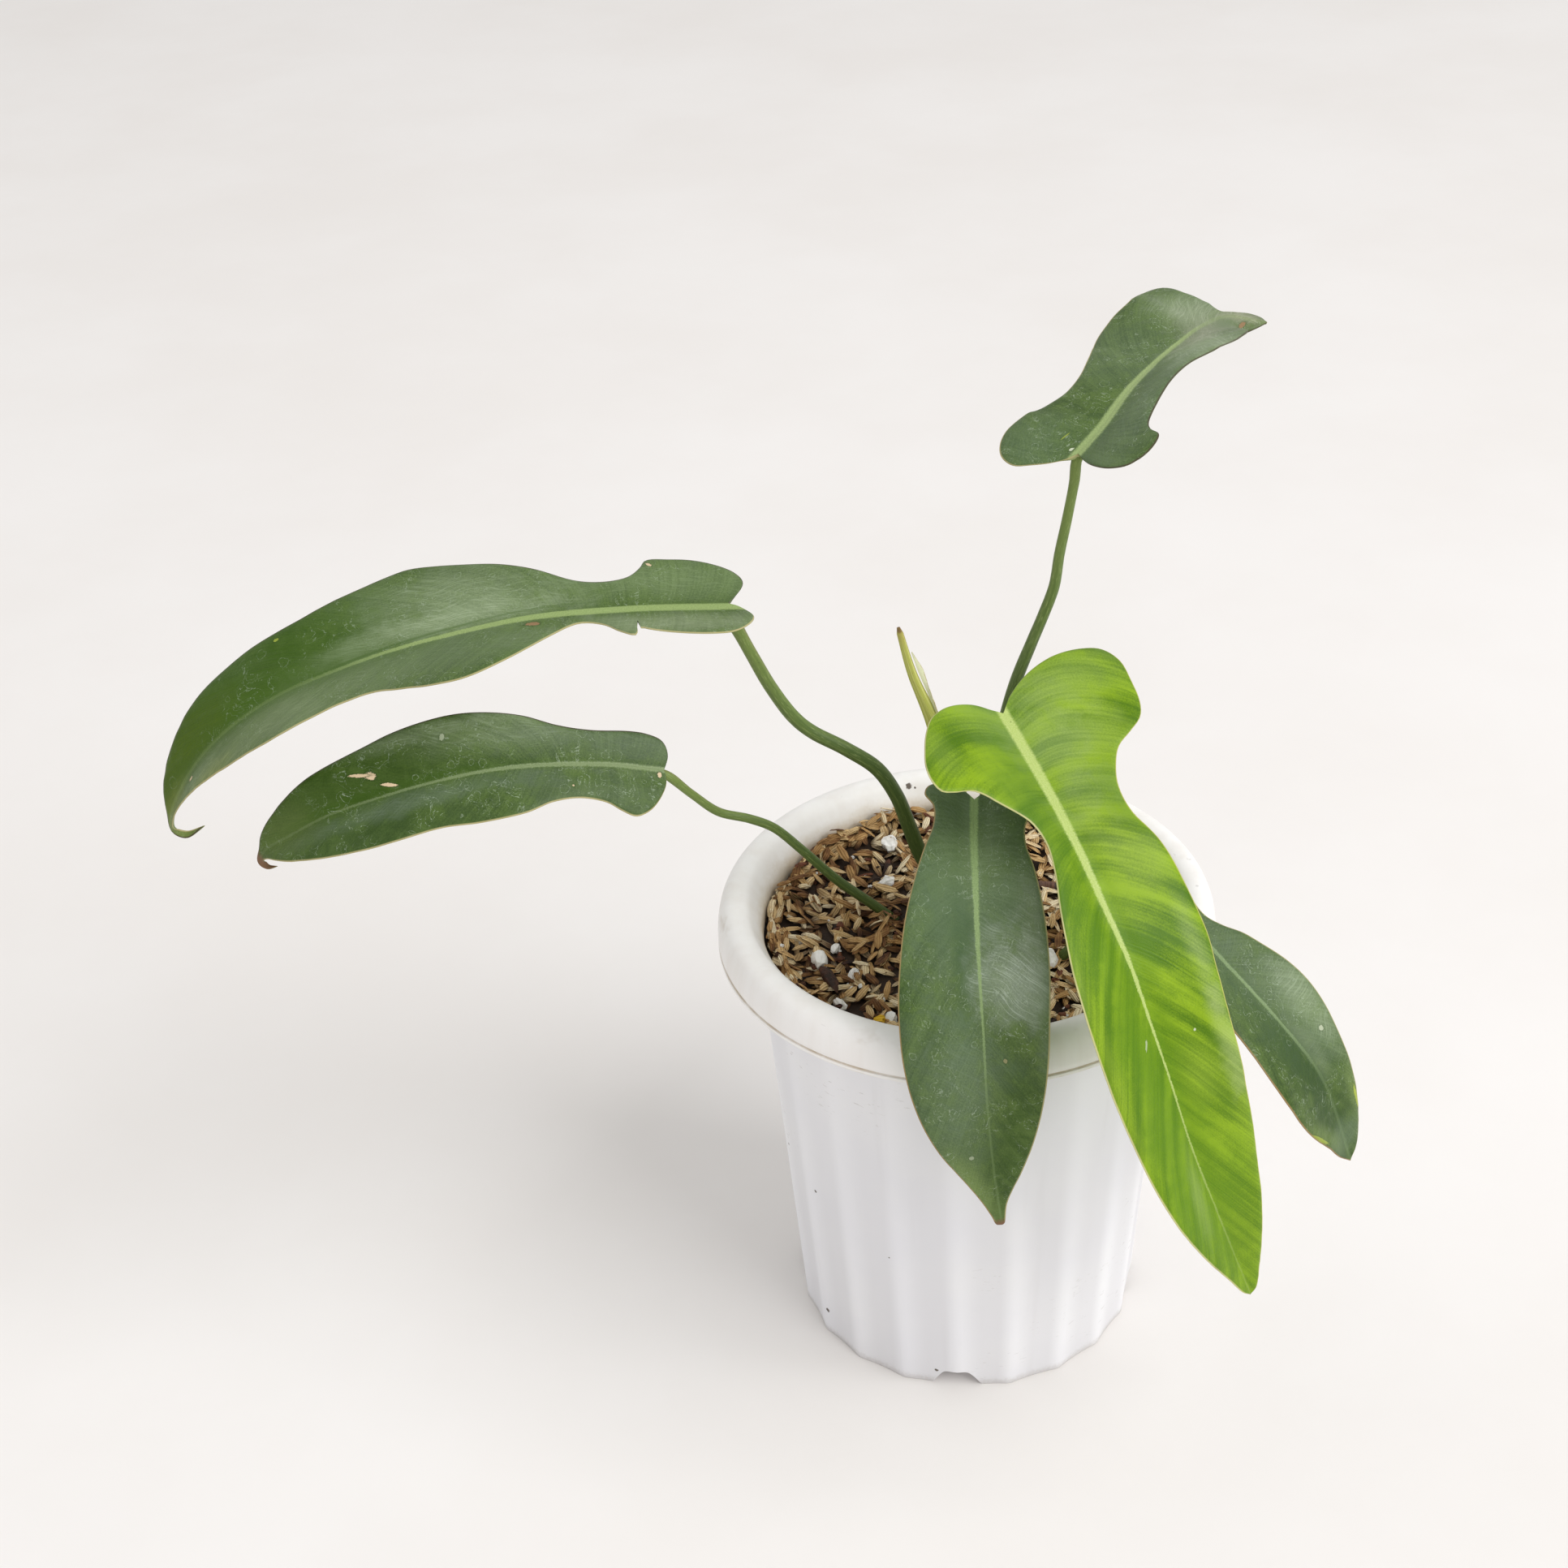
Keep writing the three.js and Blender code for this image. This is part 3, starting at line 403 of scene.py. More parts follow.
def step_between(value, low, high):
    """0 below low, 1 above high, smooth between."""
    share = np.clip((value - low) / (high - low), 0, 1)
    return share * share * (3 - 2 * share)


def drift(x, y, z=0.0):
    """Smooth noise from about -1 to 1 for arrays of coordinates."""
    x, y, z = np.broadcast_arrays(x, y, z)
    flat = [noise.noise(Vector(place)) for place in zip(x.ravel(), y.ravel(), z.ravel())]
    return np.array(flat).reshape(x.shape)


class LeafForm:
    """The bent surface of one leaf: puts its flat points, along u and out v, in space."""

    NEAR = 0.5  # distance of the points that a normal is worked out from
    MIDDLE = 0.05  # closer to the midrib than this, its own sideways direction is taken

    def __init__(self, leaf):
        self.leaf = leaf
        self.midrib = SmoothLine(leaf["midrib"])
        self.length = self.midrib.length

    def frame(self, u):
        """Place on the midrib, upward normal and direction to the right at distance u."""
        inside = np.clip(u, 0, self.length)
        along = self.midrib.direction(inside)
        place = self.midrib.at(inside) + along * (u - inside)[:, None]
        up = spread(self.leaf["face"], inside / self.length)
        up = unit(up - along * (up * along).sum(1)[:, None])
        return place, up, np.cross(along, up)

    def bend(self, u, v):
        place, up, side = self.frame(u)
        fold = np.radians(spread(self.leaf["fold"], np.clip(u / self.length, 0, 1)))
        droop = math.radians(self.leaf["droop"])
        out = np.abs(v)
        across = (np.sin(fold) - np.sin(fold - droop * out)) / droop
        arch = (np.cos(fold - droop * out) - np.cos(fold)) / droop
        height, length, phase = self.leaf["wave"]
        turn = 2 * math.pi * u / length + phase + np.where(v > 0, RUFFLE_SHIFT, 0)
        ruffle = height * np.minimum(1, out / RUFFLE_FULL) ** 2 * np.sin(turn)
        return place + side * (np.sign(v) * across)[:, None] + up * (arch + ruffle)[:, None]

    def normal(self, u, v):
        """The way the upper side looks, from points close by on the same half."""
        outward = np.where(v < 0, -self.NEAR, self.NEAR)
        here = self.bend(u, v)
        along = self.bend(u + self.NEAR, v) - here
        across = (self.bend(u, v + outward) - here) * np.sign(outward)[:, None]
        middle = np.abs(v) < self.MIDDLE
        across[middle] = self.frame(u[middle])[2]
        return unit(np.cross(across, along))

    def rows(self, count):
        """Left edge, right edge and distance along the midrib of each row, notch to tip."""
        share = np.linspace(0, 1, count + 1)
        share = share - GATHER * np.sin(2 * math.pi * share) / (2 * math.pi)
        left, right = (SmoothLine(self.leaf[side]) for side in ("left", "right"))
        left, right = left.at(share * left.length), right.at(share * right.length)
        middle = np.zeros(count + 1)
        for row in range(1, count + 1):
            middle[row] = max(middle[row - 1] + LEAST_STEP, (left[row, 0] + right[row, 0]) / 2)
        return left, right, np.minimum(middle, self.length - (count - np.arange(count + 1)) * LEAST_STEP)


# Meshes

WELD_DISTANCE = 0.002


def begin():
    """Object mode with nothing selected, as every piece starts."""
    if bpy.context.view_layer.objects.active and bpy.context.mode != "OBJECT":
        bpy.ops.object.mode_set(mode="OBJECT")
    bpy.ops.object.select_all(action="DESELECT")


def named(name):
    piece = bpy.context.active_object
    piece.name = piece.data.name = name
    return piece


def points_of(mesh):
    """The mesh's vertices in millimetres."""
    flat = np.empty(3 * len(mesh.vertices))
    mesh.vertices.foreach_get("co", flat)
    return flat.reshape(-1, 3) / MM


def place_points(mesh, points):
    mesh.vertices.foreach_set("co", (np.asarray(points) * MM).ravel())
    mesh.update()


def keep_attribute(mesh, name, values):
    """Stores a number or a vector for each vertex, for the finish to read."""
    values = np.asarray(values, float)
    kind, key = ("FLOAT_VECTOR", "vector") if values.ndim == 2 else ("FLOAT", "value")
    attribute = mesh.attributes.get(name) or mesh.attributes.new(name, kind, "POINT")
    attribute.data.foreach_set(key, values.ravel())


def read_attribute(mesh, name):
    attribute = mesh.attributes[name]
    vector = attribute.data_type == "FLOAT_VECTOR"
    flat = np.empty(len(attribute.data) * (3 if vector else 1))
    attribute.data.foreach_get("vector" if vector else "value", flat)
    return flat.reshape(-1, 3) if vector else flat


def in_edit_mode(piece, select_type):
    bpy.ops.object.mode_set(mode="EDIT")
    bpy.ops.mesh.select_mode(type=select_type)
    bpy.ops.mesh.select_all(action="DESELECT")
    return bmesh.from_edit_mesh(piece.data)


def apply_modifier(piece, kind, **settings):
    modifier = piece.modifiers.new(kind.title(), kind)
    for name, value in settings.items():
        setattr(modifier, name, value)
    bpy.context.view_layer.objects.active = piece
    bpy.ops.object.modifier_apply(modifier=modifier.name)


def weld():
    """Merges points of the active piece that fell together."""
    bpy.ops.object.mode_set(mode="EDIT")
    bpy.ops.mesh.select_all(action="SELECT")
    bpy.ops.mesh.remove_doubles(threshold=WELD_DISTANCE * MM)
    bpy.ops.object.mode_set(mode="OBJECT")


def smooth(piece, angle):
    bpy.ops.object.select_all(action="DESELECT")
    piece.select_set(True)
    bpy.context.view_layer.objects.active = piece
    bpy.ops.object.shade_smooth_by_angle(angle=math.radians(angle))


def joined(pieces):
    """The first piece with all the others joined to it."""
    begin()
    for piece in pieces:
        piece.select_set(True)
    bpy.context.view_layer.objects.active = pieces[0]
    bpy.ops.object.join()
    return pieces[0]


def hand_over(piece, slot, finish, *nodes):
    """Gives a finished piece its material and its body, and hides the solids it stands for; slot is not used.
    """
    piece.data.materials.clear()
    piece.data.materials.append(finish)
    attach(piece, "root")
    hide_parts(*nodes)


def turned(name, profile, sides):
    """A turned body: a disc, and then each ring of the profile extruded from the last one.

    The profile runs from the underside round to a last point on the axis, which closes it.
    """
    begin()
    (radius, height), *rings = profile
    bpy.ops.mesh.primitive_circle_add(
        vertices=sides, radius=radius * MM, fill_type="NGON", location=(0, 0, height * MM))
    piece = named(name)
    bpy.ops.object.transform_apply(location=True)
    bpy.ops.object.mode_set(mode="EDIT")
    bpy.ops.mesh.select_mode(type="EDGE")
    bpy.ops.mesh.select_all(action="SELECT")
    bpy.ops.mesh.region_to_loop()
    for next_radius, next_height in rings:
        rise = (0, 0, (next_height - height) * MM)
        bpy.ops.mesh.extrude_edges_move(TRANSFORM_OT_translate={"value": rise})
        if next_radius == 0:
            bpy.ops.mesh.merge(type="CENTER")
        else:
            scale = next_radius / radius
            bpy.ops.transform.resize(value=(scale, scale, 1), center_override=(0, 0, next_height * MM))
        radius, height = next_radius, next_height
    bpy.ops.mesh.select_all(action="SELECT")
    bpy.ops.mesh.normals_make_consistent(inside=False)
    bpy.ops.object.mode_set(mode="OBJECT")
    return piece


def line_frames(line, distances):
    """Directions along the line and two sideways directions that don't twist round it."""
    along = line.direction(distances)
    first = np.empty_like(along)
    reference = np.array([0.0, -1.0, 0.0])
    for row, direction in enumerate(along):
        reference = reference - direction * (reference @ direction)
        reference /= np.linalg.norm(reference)
        first[row] = reference
    return along, first, np.cross(along, first)


def rod(name, points, radius_at, sides, step, cross_section=None):
    """A round stem: a cylinder cut into rings, step apart, that are moved along a smooth line.

    radius_at gives the radius for arrays of share along and angle round, and cross_section
    may reshape the two sideways distances.
    """
    line = SmoothLine(points)
    rings = round(line.length / step)
    begin()
    bpy.ops.mesh.primitive_cylinder_add(vertices=sides, radius=1, depth=2, end_fill_type="TRIFAN")
    piece = named(name)
    edges = in_edit_mode(piece, "EDGE").edges
    for edge in edges:
        edge.select = abs(edge.verts[0].co.z - edge.verts[1].co.z) > 1
    bmesh.update_edit_mesh(piece.data)
    bpy.ops.mesh.subdivide(number_cuts=rings - 1)
    bpy.ops.object.mode_set(mode="OBJECT")
    start = points_of(piece.data) * MM
    share = (start[:, 2] + 1) / 2
    ring = np.rint(share * rings).astype(int)
    share = ring / rings
    angle = np.arctan2(start[:, 1], start[:, 0])
    reach = np.hypot(start[:, 0], start[:, 1])
    distances = np.linspace(0, line.length, rings + 1)
    _, first, second = line_frames(line, distances)
    radius = radius_at(share, angle) * reach
    sideways, depth = radius * np.cos(angle), radius * np.sin(angle)
    if cross_section:
        sideways, depth = cross_section(share, sideways, depth)
    centre = line.at(distances)[ring]
    place_points(piece.data, centre + first[ring] * sideways[:, None] + second[ring] * depth[:, None])
    keep_attribute(piece.data, "run", np.stack([share * line.length, angle, share], -1))
    weld()
    return piece


# Materials


class Value:
    """A socket of a material that takes part in sums: value + 1, 2 * value, abs(value)."""

    def __init__(self, finish, socket):
        self.finish = finish
        self.socket = socket

    def __add__(self, other):
        return self.finish.sum("ADD", self, other)

    def __sub__(self, other):
        return self.finish.sum("SUBTRACT", self, other)

    def __rsub__(self, other):
        return self.finish.sum("SUBTRACT", other, self)

    def __mul__(self, other):
        return self.finish.sum("MULTIPLY", self, other)

    def __abs__(self):
        return self.finish.sum("ABSOLUTE", self)

    __radd__ = __add__
    __rmul__ = __mul__


class Finish:
    """A material under construction."""

    def __init__(self, name):
        self.material = bpy.data.materials.new(name)
        self.material.use_nodes = True
        self.nodes = self.material.node_tree.nodes
        self.links = self.material.node_tree.links
        self.nodes.clear()

    def node(self, kind, settings=None, sockets=None, output=0):
        """Adds a node: its settings first, then the values or links of its sockets."""
        node = self.nodes.new("ShaderNode" + kind)
        for name, value in (settings or {}).items():
            if name == "stops":
                self.fill_ramp(node.color_ramp, value)
            else:
                setattr(node, name, value)
        for name, value in (sockets or {}).items():
            if isinstance(value, Value):
                self.links.new(value.socket, node.inputs[name])
            elif node.inputs[name].type == "RGBA":
                node.inputs[name].default_value = (*value[:3], 1)
            else:
                node.inputs[name].default_value = value
        return Value(self, node.outputs[output])

    @staticmethod
    def fill_ramp(ramp, stops):
        while len(ramp.elements) < len(stops):
            ramp.elements.new(1)
        for element, (place, colour) in zip(ramp.elements, stops):
            element.position = place
            element.color = (*colour, 1)

    def sum(self, operation, first, second=0):
        return self.node("Math", {"operation": operation}, {0: first, 1: second})

    def most(self, first, second):
        return self.sum("MAXIMUM", first, second)

    def mix(self, share, first, second):
        """The first colour where share is 0 and the second where it is 1."""
        return self.node("Mix", {"data_type": "RGBA"}, {0: share, 6: first, 7: second}, output=2)

    def darken(self, share, first, second):
        settings = {"data_type": "RGBA", "blend_type": "MULTIPLY"}
        return self.node("Mix", settings, {0: share, 6: first, 7: second}, output=2)

    def between(self, value, low, high, start=0.0, end=1.0):
        """start where value is below low, end above high, and smooth between."""
        settings = {"interpolation_type": "SMOOTHSTEP"}
        return self.node("MapRange", settings, {0: value, 1: low, 2: high, 3: start, 4: end})

    def attribute(self, name, vector=False):
        settings = {"attribute_type": "GEOMETRY", "attribute_name": name}
        return self.node("Attribute", settings, output=1 if vector else 2)

    def place(self):
        """The point on the piece, in metres."""
        return self.node("TexCoord", output=3)

    def split(self, vector):
        node = self.node("SeparateXYZ", sockets={0: vector}).socket.node
        return [Value(self, socket) for socket in node.outputs]

    def vector(self, x, y, z=0.0):
        return self.node("CombineXYZ", sockets={0: x, 1: y, 2: z})

    def length(self, vector):
        return self.node("VectorMath", {"operation": "LENGTH"}, {0: vector}, output=1)

    def speckle(self, vector, scale, detail=2.0, roughness=0.5, distortion=0.0):
        sockets = {"Vector": vector, "Scale": scale, "Detail": detail, "Roughness": roughness,
                   "Distortion": distortion}
        return self.node("TexNoise", sockets=sockets)

    def ramp(self, value, *stops):
        return self.node("ValToRGB", {"stops": stops}, {0: value})

    def oval(self, vector, centre, size, turn):
        """Coordinates about a centre, in units of size, along turned directions."""
        sockets = {"Vector": vector, "Location": (*centre, 0), "Rotation": (0, 0, math.radians(turn)),
                   "Scale": (*size, 1)}
        return self.node("Mapping", {"vector_type": "TEXTURE"}, sockets)

    def spot(self, vector, centre, size, turn):
        """Distance from an oval's centre, 1 on its edge."""
        return self.length(self.oval(vector, centre, size, turn))

    def scratches(self, vector, length, width, turn):
        """Fine straight lines in one direction."""
        drawn = self.oval(vector, (0, 0), (length, width), turn)
        lines = self.speckle(drawn, 1.0, detail=2.5, distortion=0.8)
        return self.between(lines, 0.5, 0.68)

    def shaken(self, vector, scale, detail, reach):
        """The vector, pushed about sideways by up to reach."""
        sockets = {"Vector": vector, "Scale": scale, "Detail": detail}
        shake = self.node("TexNoise", sockets=sockets, output=1)
        sockets = {0: shake, 1: (reach, reach, 0), 2: vector}
        return self.node("VectorMath", {"operation": "MULTIPLY_ADD"}, sockets)

    def rings(self, vector, spacing):
        """Small broken rings in some of the cells of a scattered pattern."""
        uneven = self.shaken(vector, 0.35, 3.0, 3)
        cell = self.node("TexVoronoi", sockets={"Vector": uneven, "Scale": 1 / spacing})
        red, green, _ = self.split(Value(self, cell.socket.node.outputs["Color"]))
        ring = self.between(abs(cell - red * 0.2 - 0.12), 0.026, 0.006)
        return ring * self.between(green, 0.66, 0.72)

    def bump(self, height, distance):
        """Relief; height 0 to 1 stands for 0 to distance in metres."""
        sockets = {"Height": height, "Distance": distance, "Strength": 1.0}
        return self.node("Bump", sockets=sockets)

    def surface(self, **sockets):
        """Ends the material with its shader; words of a socket are joined by _."""
        named_sockets = {name.replace("_", " "): value for name, value in sockets.items()}
        shader = self.node("BsdfPrincipled", sockets=named_sockets)
        ending = self.nodes.new("ShaderNodeOutputMaterial")
        self.links.new(shader.socket, ending.inputs[0])
        return self.material


# Pot


def ridge_profile(angle, height):
    """How far the outer wall lies inside its plain cone at this angle and height."""
    pitch = 360 / FLUTE_COUNT
    from_ridge = np.mod(np.degrees(angle) - RIDGE_ANGLE, pitch)
    across = 2 * from_ridge / pitch - 1
    softened = np.sqrt((1 - across**2) ** 2 + FLUTE_SOFTNESS**2) - FLUTE_SOFTNESS
    return FLUTE_DEPTH * softened * (1 - height / COLLAR_FOOT)


def pot_profile():
    """Radius and height from the underside, up the outside, over the collar and down inside."""
    body = np.linspace(0, 1, 9)[1:]
    wall = [(BASE_RADIUS + (BODY_TOP_RADIUS - BASE_RADIUS) * t, 1 + (COLLAR_FOOT - 1) * t) for t in body]
    shoulder_foot = COLLAR_FOOT + LIP_HEIGHT
    turns = [math.radians(turn) for turn in (2, 8, 15, 23, 32, 41, 50, 59, 68, 76, 83)]
    shoulder = [
        (CREST_RADIUS + (RIM_RADIUS - CREST_RADIUS) * math.cos(turn) ** SHOULDER_POWER,
         shoulder_foot + (POT_HEIGHT - shoulder_foot) * math.sin(turn) ** SHOULDER_POWER)
        for turn in turns
    ]
    mouth = SmoothLine([
        (CREST_RADIUS, POT_HEIGHT), (CREST_RADIUS - 3.2, POT_HEIGHT - 1.1),
        (MOUTH_RADIUS + 2, MOUTH_HEIGHT + 4), (MOUTH_RADIUS, MOUTH_HEIGHT),
        (MOUTH_RADIUS - 0.8, MOUTH_HEIGHT - 5), (BODY_TOP_RADIUS - WALL, INNER_EDGE),
    ])
    inside = [tuple(point) for point in mouth.at(np.linspace(0, mouth.length, 18))]
    return [
        (PAD_RADIUS, 0), (PAD_RADIUS + DRAFT, RECESS), (FOOT_INNER - DRAFT, RECESS), (FOOT_INNER, 0),
        (BASE_RADIUS - 0.5, 0), (BASE_RADIUS - 0.1, 0.15), (BASE_RADIUS, 0.5), *wall,
        (RIM_RADIUS - 1.2, COLLAR_FOOT - 0.1), (RIM_RADIUS - 0.4, COLLAR_FOOT + 0.1),
        (RIM_RADIUS, COLLAR_FOOT + 0.6), (RIM_RADIUS, shoulder_foot - 0.4),
        (RIM_RADIUS - 0.5, shoulder_foot - 0.15), (RIM_RADIUS - 0.55, shoulder_foot + 0.2),
        *shoulder, *inside,
        (BASE_RADIUS - WALL - 1, FLOOR_TOP + 2), (BASE_RADIUS - WALL - 3, FLOOR_TOP), (0, FLOOR_TOP),
    ]


def notch_tools():
    """Blunt wedges for the openings in the foot and round pegs for the drain holes, as one mesh."""
    tools = []
    for index in range(NOTCH_COUNT):
        begin()
        bpy.ops.mesh.primitive_cube_add(size=1, location=(0, 0, 0))
        tool = named(f"notch_{index}")
        below = 4.0
        foot = NOTCH_FOOT + below * (NOTCH_FOOT - NOTCH_TOP) / NOTCH_HEIGHT
        for vertex in tool.data.vertices:
            top, outside = vertex.co.z > 0, vertex.co.y < 0
            vertex.co.x *= (NOTCH_TOP if top else foot) * MM
            vertex.co.y = (-NOTCH_END if outside else -NOTCH_START) * MM
            roof = NOTCH_HEIGHT if outside else NOTCH_INNER_HEIGHT
            vertex.co.z = (roof if top else -below) * MM
        apply_modifier(tool, "BEVEL", width=NOTCH_BEVEL * MM, segments=3)
        turn = math.radians(RIDGE_ANGLE) + 2 * math.pi * index / NOTCH_COUNT
        tool.data.transform(Matrix.Rotation(turn, 4, "Z"))
        tools.append(tool)
    for index in range(DRAIN_COUNT):
        turn = 2 * math.pi * (index + 0.5) / DRAIN_COUNT
        across, back = DRAIN_CIRCLE * math.sin(turn), -DRAIN_CIRCLE * math.cos(turn)
        begin()
        bpy.ops.mesh.primitive_cylinder_add(
            vertices=32, radius=DRAIN_RADIUS * MM, depth=2 * FLOOR_TOP * MM,
            location=(across * MM, back * MM, FLOOR_TOP / 2 * MM))
        tools.append(named(f"drain_{index}"))
        bpy.ops.object.transform_apply(location=True)
    return joined(tools)


# Dark specks on the plastic: place and radius
POT_SPECKS = [
    ((-21.6, 75, 180.6), 1.5), ((-19.2, 75, 179.8), 0.5), ((-55.9, -41.1, 76.7), 0.8),
    ((-28.3, -62.4, 63.6), 0.4), ((-66.7, -20.9, 82.3), 0.6), ((-53.4, -36.8, 12.1), 1.2),
    ((-11.4, -62.7, 6.9), 0.9), ((65.8, -15.6, 57.4), 0.5),
]


def pot_finish(settings):
    f = Finish("pot_plastic")
    place = f.place()
    x, y, z = f.split(place)
    level = z * (1 / MM)
    radius = f.length(f.vector(x, y)) * (1 / MM)
    mottle = f.speckle(place, 14, detail=4, roughness=0.6)
    streak = f.speckle(f.vector(x * 90, y * 90, z * 5), 1.0, detail=3, roughness=0.6)
    pitch = 2 * math.pi / FLUTE_COUNT
    turn = f.sum("ARCTAN2", x, y * -1) * (1 / pitch) + (FLUTE_COUNT - math.radians(RIDGE_ANGLE) / pitch)
    flute = f.sum("FRACT", turn)
    smear = f.speckle(f.vector(x * 30, y * 30, z * 60), 1.0, detail=4, roughness=0.7)
    grit = f.speckle(place, 900, detail=2)
    collar = f.between(level, COLLAR_FOOT - 0.5, COLLAR_FOOT + 0.5)
    body = f.mix(f.between(mottle, 0.3, 0.75), settings.body_colour, tone(243, 243, 245))
    body = f.mix(f.between(streak, 0.55, 0.85) * 0.3, body, tone(205, 203, 203))
    # painted shade: the hollows of the flutes are drawn darker, more so low down
    hollow = f.between(flute, 0.0, 0.5) * f.between(flute, 1.0, 0.75)
    body = f.mix(hollow * f.between(level, COLLAR_FOOT, 30, 0.15, 0.5), body, tone(218, 217, 220))
    rim = f.mix(f.between(streak, 0.35, 0.8), settings.collar_colour, tone(241, 237, 233))
    colour = f.mix(collar, body, rim)
    # grime settles in a thin line where the filling meets the wall; thin tan lines run along the collar's
    # groove and its lower edge
    soil_line = f.between(level + (smear - 0.5) * 12 + (grit - 0.5) * 2, 179, 170)
    inner = f.between(radius, 80, 76)
    colour = f.mix(soil_line * inner * collar * 0.7, colour, tone(190, 170, 132))
    outside = f.between(radius, 86, 88)
    groove = f.between(abs(level - COLLAR_FOOT - LIP_HEIGHT), 0.6, 0.1)
    groove = groove * f.between(streak, 0.3, 0.6, 0.35, 0.8)
    lip = f.between(abs(level - COLLAR_FOOT - 0.4), 0.5, 0.1) * f.between(streak, 0.35, 0.65, 0.05, 0.4)
    colour = f.mix((groove + lip) * outside, colour, tone(196, 178, 152))
    smudge = f.between(smear, 0.6, 0.75) * collar * f.between(radius, 80, 87)
    colour = f.mix(smudge * 0.45, colour, tone(200, 188, 172))
    # painted shade: the body is drawn greyer just under the collar, in the shade of its overhang
    corner = f.between(level, COLLAR_FOOT - 9, COLLAR_FOOT - 0.5) * (1 - collar)
    colour = f.mix(corner * f.between(streak, 0.3, 0.8, 0.2, 0.5), colour, tone(206, 201, 196))
    scratches = f.speckle(f.vector(x * 260, y * 260, z * 1500), 1.0, detail=2)
    scuffs = f.between(scratches, 0.66, 0.72) * f.between(mottle, 0.55, 0.62)
    colour = f.mix(scuffs * 0.4, colour, tone(176, 172, 168))
    # painted shade: the body is drawn darker close to the floor, where it stands on it
    foot = f.between(level + (grit - 0.5) * 3, 4, 0)
    colour = f.mix(foot * 0.4, colour, tone(172, 164, 156))
    for centre, size in POT_SPECKS:
        near = f.node("VectorMath", {"operation": "DISTANCE"},
                      {0: place, 1: Vector(centre) * MM}, output=1) * (1 / MM)
        speck = f.between(near + (grit - 0.5) * size, size, size * 0.6)
        colour = f.mix(speck * 0.95, colour, tone(80, 66, 50))
    roughness = (mottle - 0.5) * 0.16 + collar * 0.04 + soil_line * inner * 0.2 + scuffs * 0.2 + 0.4
    relief = f.bump(f.speckle(place, 420, detail=3) * 0.5 + streak * 0.5, 0.00005)
    return f.surface(Base_Color=colour, Roughness=roughness, Normal=relief, IOR=1.46)


def build_pot(settings):
    piece = turned("pot_body", pot_profile(), settings.sides)
    points = points_of(piece.data)
    radius = np.hypot(points[:, 0], points[:, 1])
    height = points[:, 2]
    # the flutes are pressed into the outer wall, below the collar
    cone = BASE_RADIUS + (BODY_TOP_RADIUS - BASE_RADIUS) * height / COLLAR_FOOT
    outer = (radius > cone - WALL / 2) & (height < COLLAR_FOOT - 0.2)
    angle = np.arctan2(points[:, 0], -points[:, 1])
    scale = np.where(outer, 1 - ridge_profile(angle, height) / np.maximum(radius, 1), 1)
    points[:, :2] *= scale[:, None]
    place_points(piece.data, points)
    tool = notch_tools()
    apply_modifier(piece, "BOOLEAN", operation="DIFFERENCE", object=tool, solver="EXACT")
    bpy.data.objects.remove(tool)
    smooth(piece, 35)
    hand_over(piece, "pot", pot_finish(settings), "pot")


# Growing medium


class Pile:
    """Heights of what lies in the pot so far, on a square grid of cells."""

    HALF = 76  # from the middle of the grid to its side
    CELL = 0.5
    STEEPEST = 0.6  # slope that a grain comes to rest at
    PROPPED = 0.6  # how much of a grain's height its highest support decides
    NOWHERE = -1e3

    def __init__(self, level):
        self.axis = np.arange(-self.HALF, self.HALF + self.CELL / 2, self.CELL)
        x, y = np.meshgrid(self.axis, self.axis, indexing="ij")
        self.heights = level(x, y)

    def cell(self, place):
        return np.clip(np.rint((place + self.HALF) / self.CELL).astype(int), 0, len(self.axis) - 1)

    def seat(self, x, y, turn, length, width):
        """Height and slopes, along and across, of a grain that comes to rest here."""
        a, b = np.meshgrid(np.linspace(-0.4, 0.4, 5) * length, np.linspace(-0.35, 0.35, 3) * width,
                           indexing="ij")
        cos, sin = math.cos(turn), math.sin(turn)
        under = self.heights[self.cell(x + a * cos - b * sin), self.cell(y + a * sin + b * cos)]
        along = (under[3:].mean() - under[:2].mean()) / (0.6 * length)
        across = (under[:, 2].mean() - under[:, 0].mean()) / (0.7 * width)
        along, across = (np.clip(slope, -self.STEEPEST, self.STEEPEST) for slope in (along, across))
        rest = under - along * a - across * b
        return self.PROPPED * rest.max() + (1 - self.PROPPED) * rest.mean(), along, across

    def cover(self, x, y, turn, length, width, height, along, across, thick):
        """Raises the heights to the rounded back of a grain that lies here."""
        reach = math.hypot(length, width) / 2
        low_x, high_x = self.cell(np.array([x - reach, x + reach]))
        low_y, high_y = self.cell(np.array([y - reach, y + reach]))
        window = self.heights[low_x:high_x + 1, low_y:high_y + 1]
        dx = self.axis[low_x:high_x + 1, None] - x
        dy = self.axis[None, low_y:high_y + 1] - y
        cos, sin = math.cos(turn), math.sin(turn)
        a, b = dx * cos + dy * sin, dy * cos - dx * sin
        inside = (2 * a / length) ** 2 + (2 * b / width) ** 2
        top = height + along * a + across * b + thick * np.sqrt(np.clip(1 - inside, 0, 1))
        np.maximum(window, np.where(inside < 1, top, self.NOWHERE), out=window)


def bed_level(x, y):
    radius = np.hypot(x, y)
    crown = BED_CROWN * (1 - (radius / SOIL_RADIUS) ** 2)
    brim = BED_BRIM * step_between(radius, SOIL_RADIUS - 9, SOIL_RADIUS)
    return SOIL_LEVEL - BED_DEPTH + SOIL_RISE * y + crown + brim


def faces_of(pattern):
    """The faces of a form that grains are copied from, which isn't needed as a piece."""
    faces = [tuple(face.vertices) for face in pattern.data.polygons]
    bpy.data.objects.remove(pattern)
    return faces


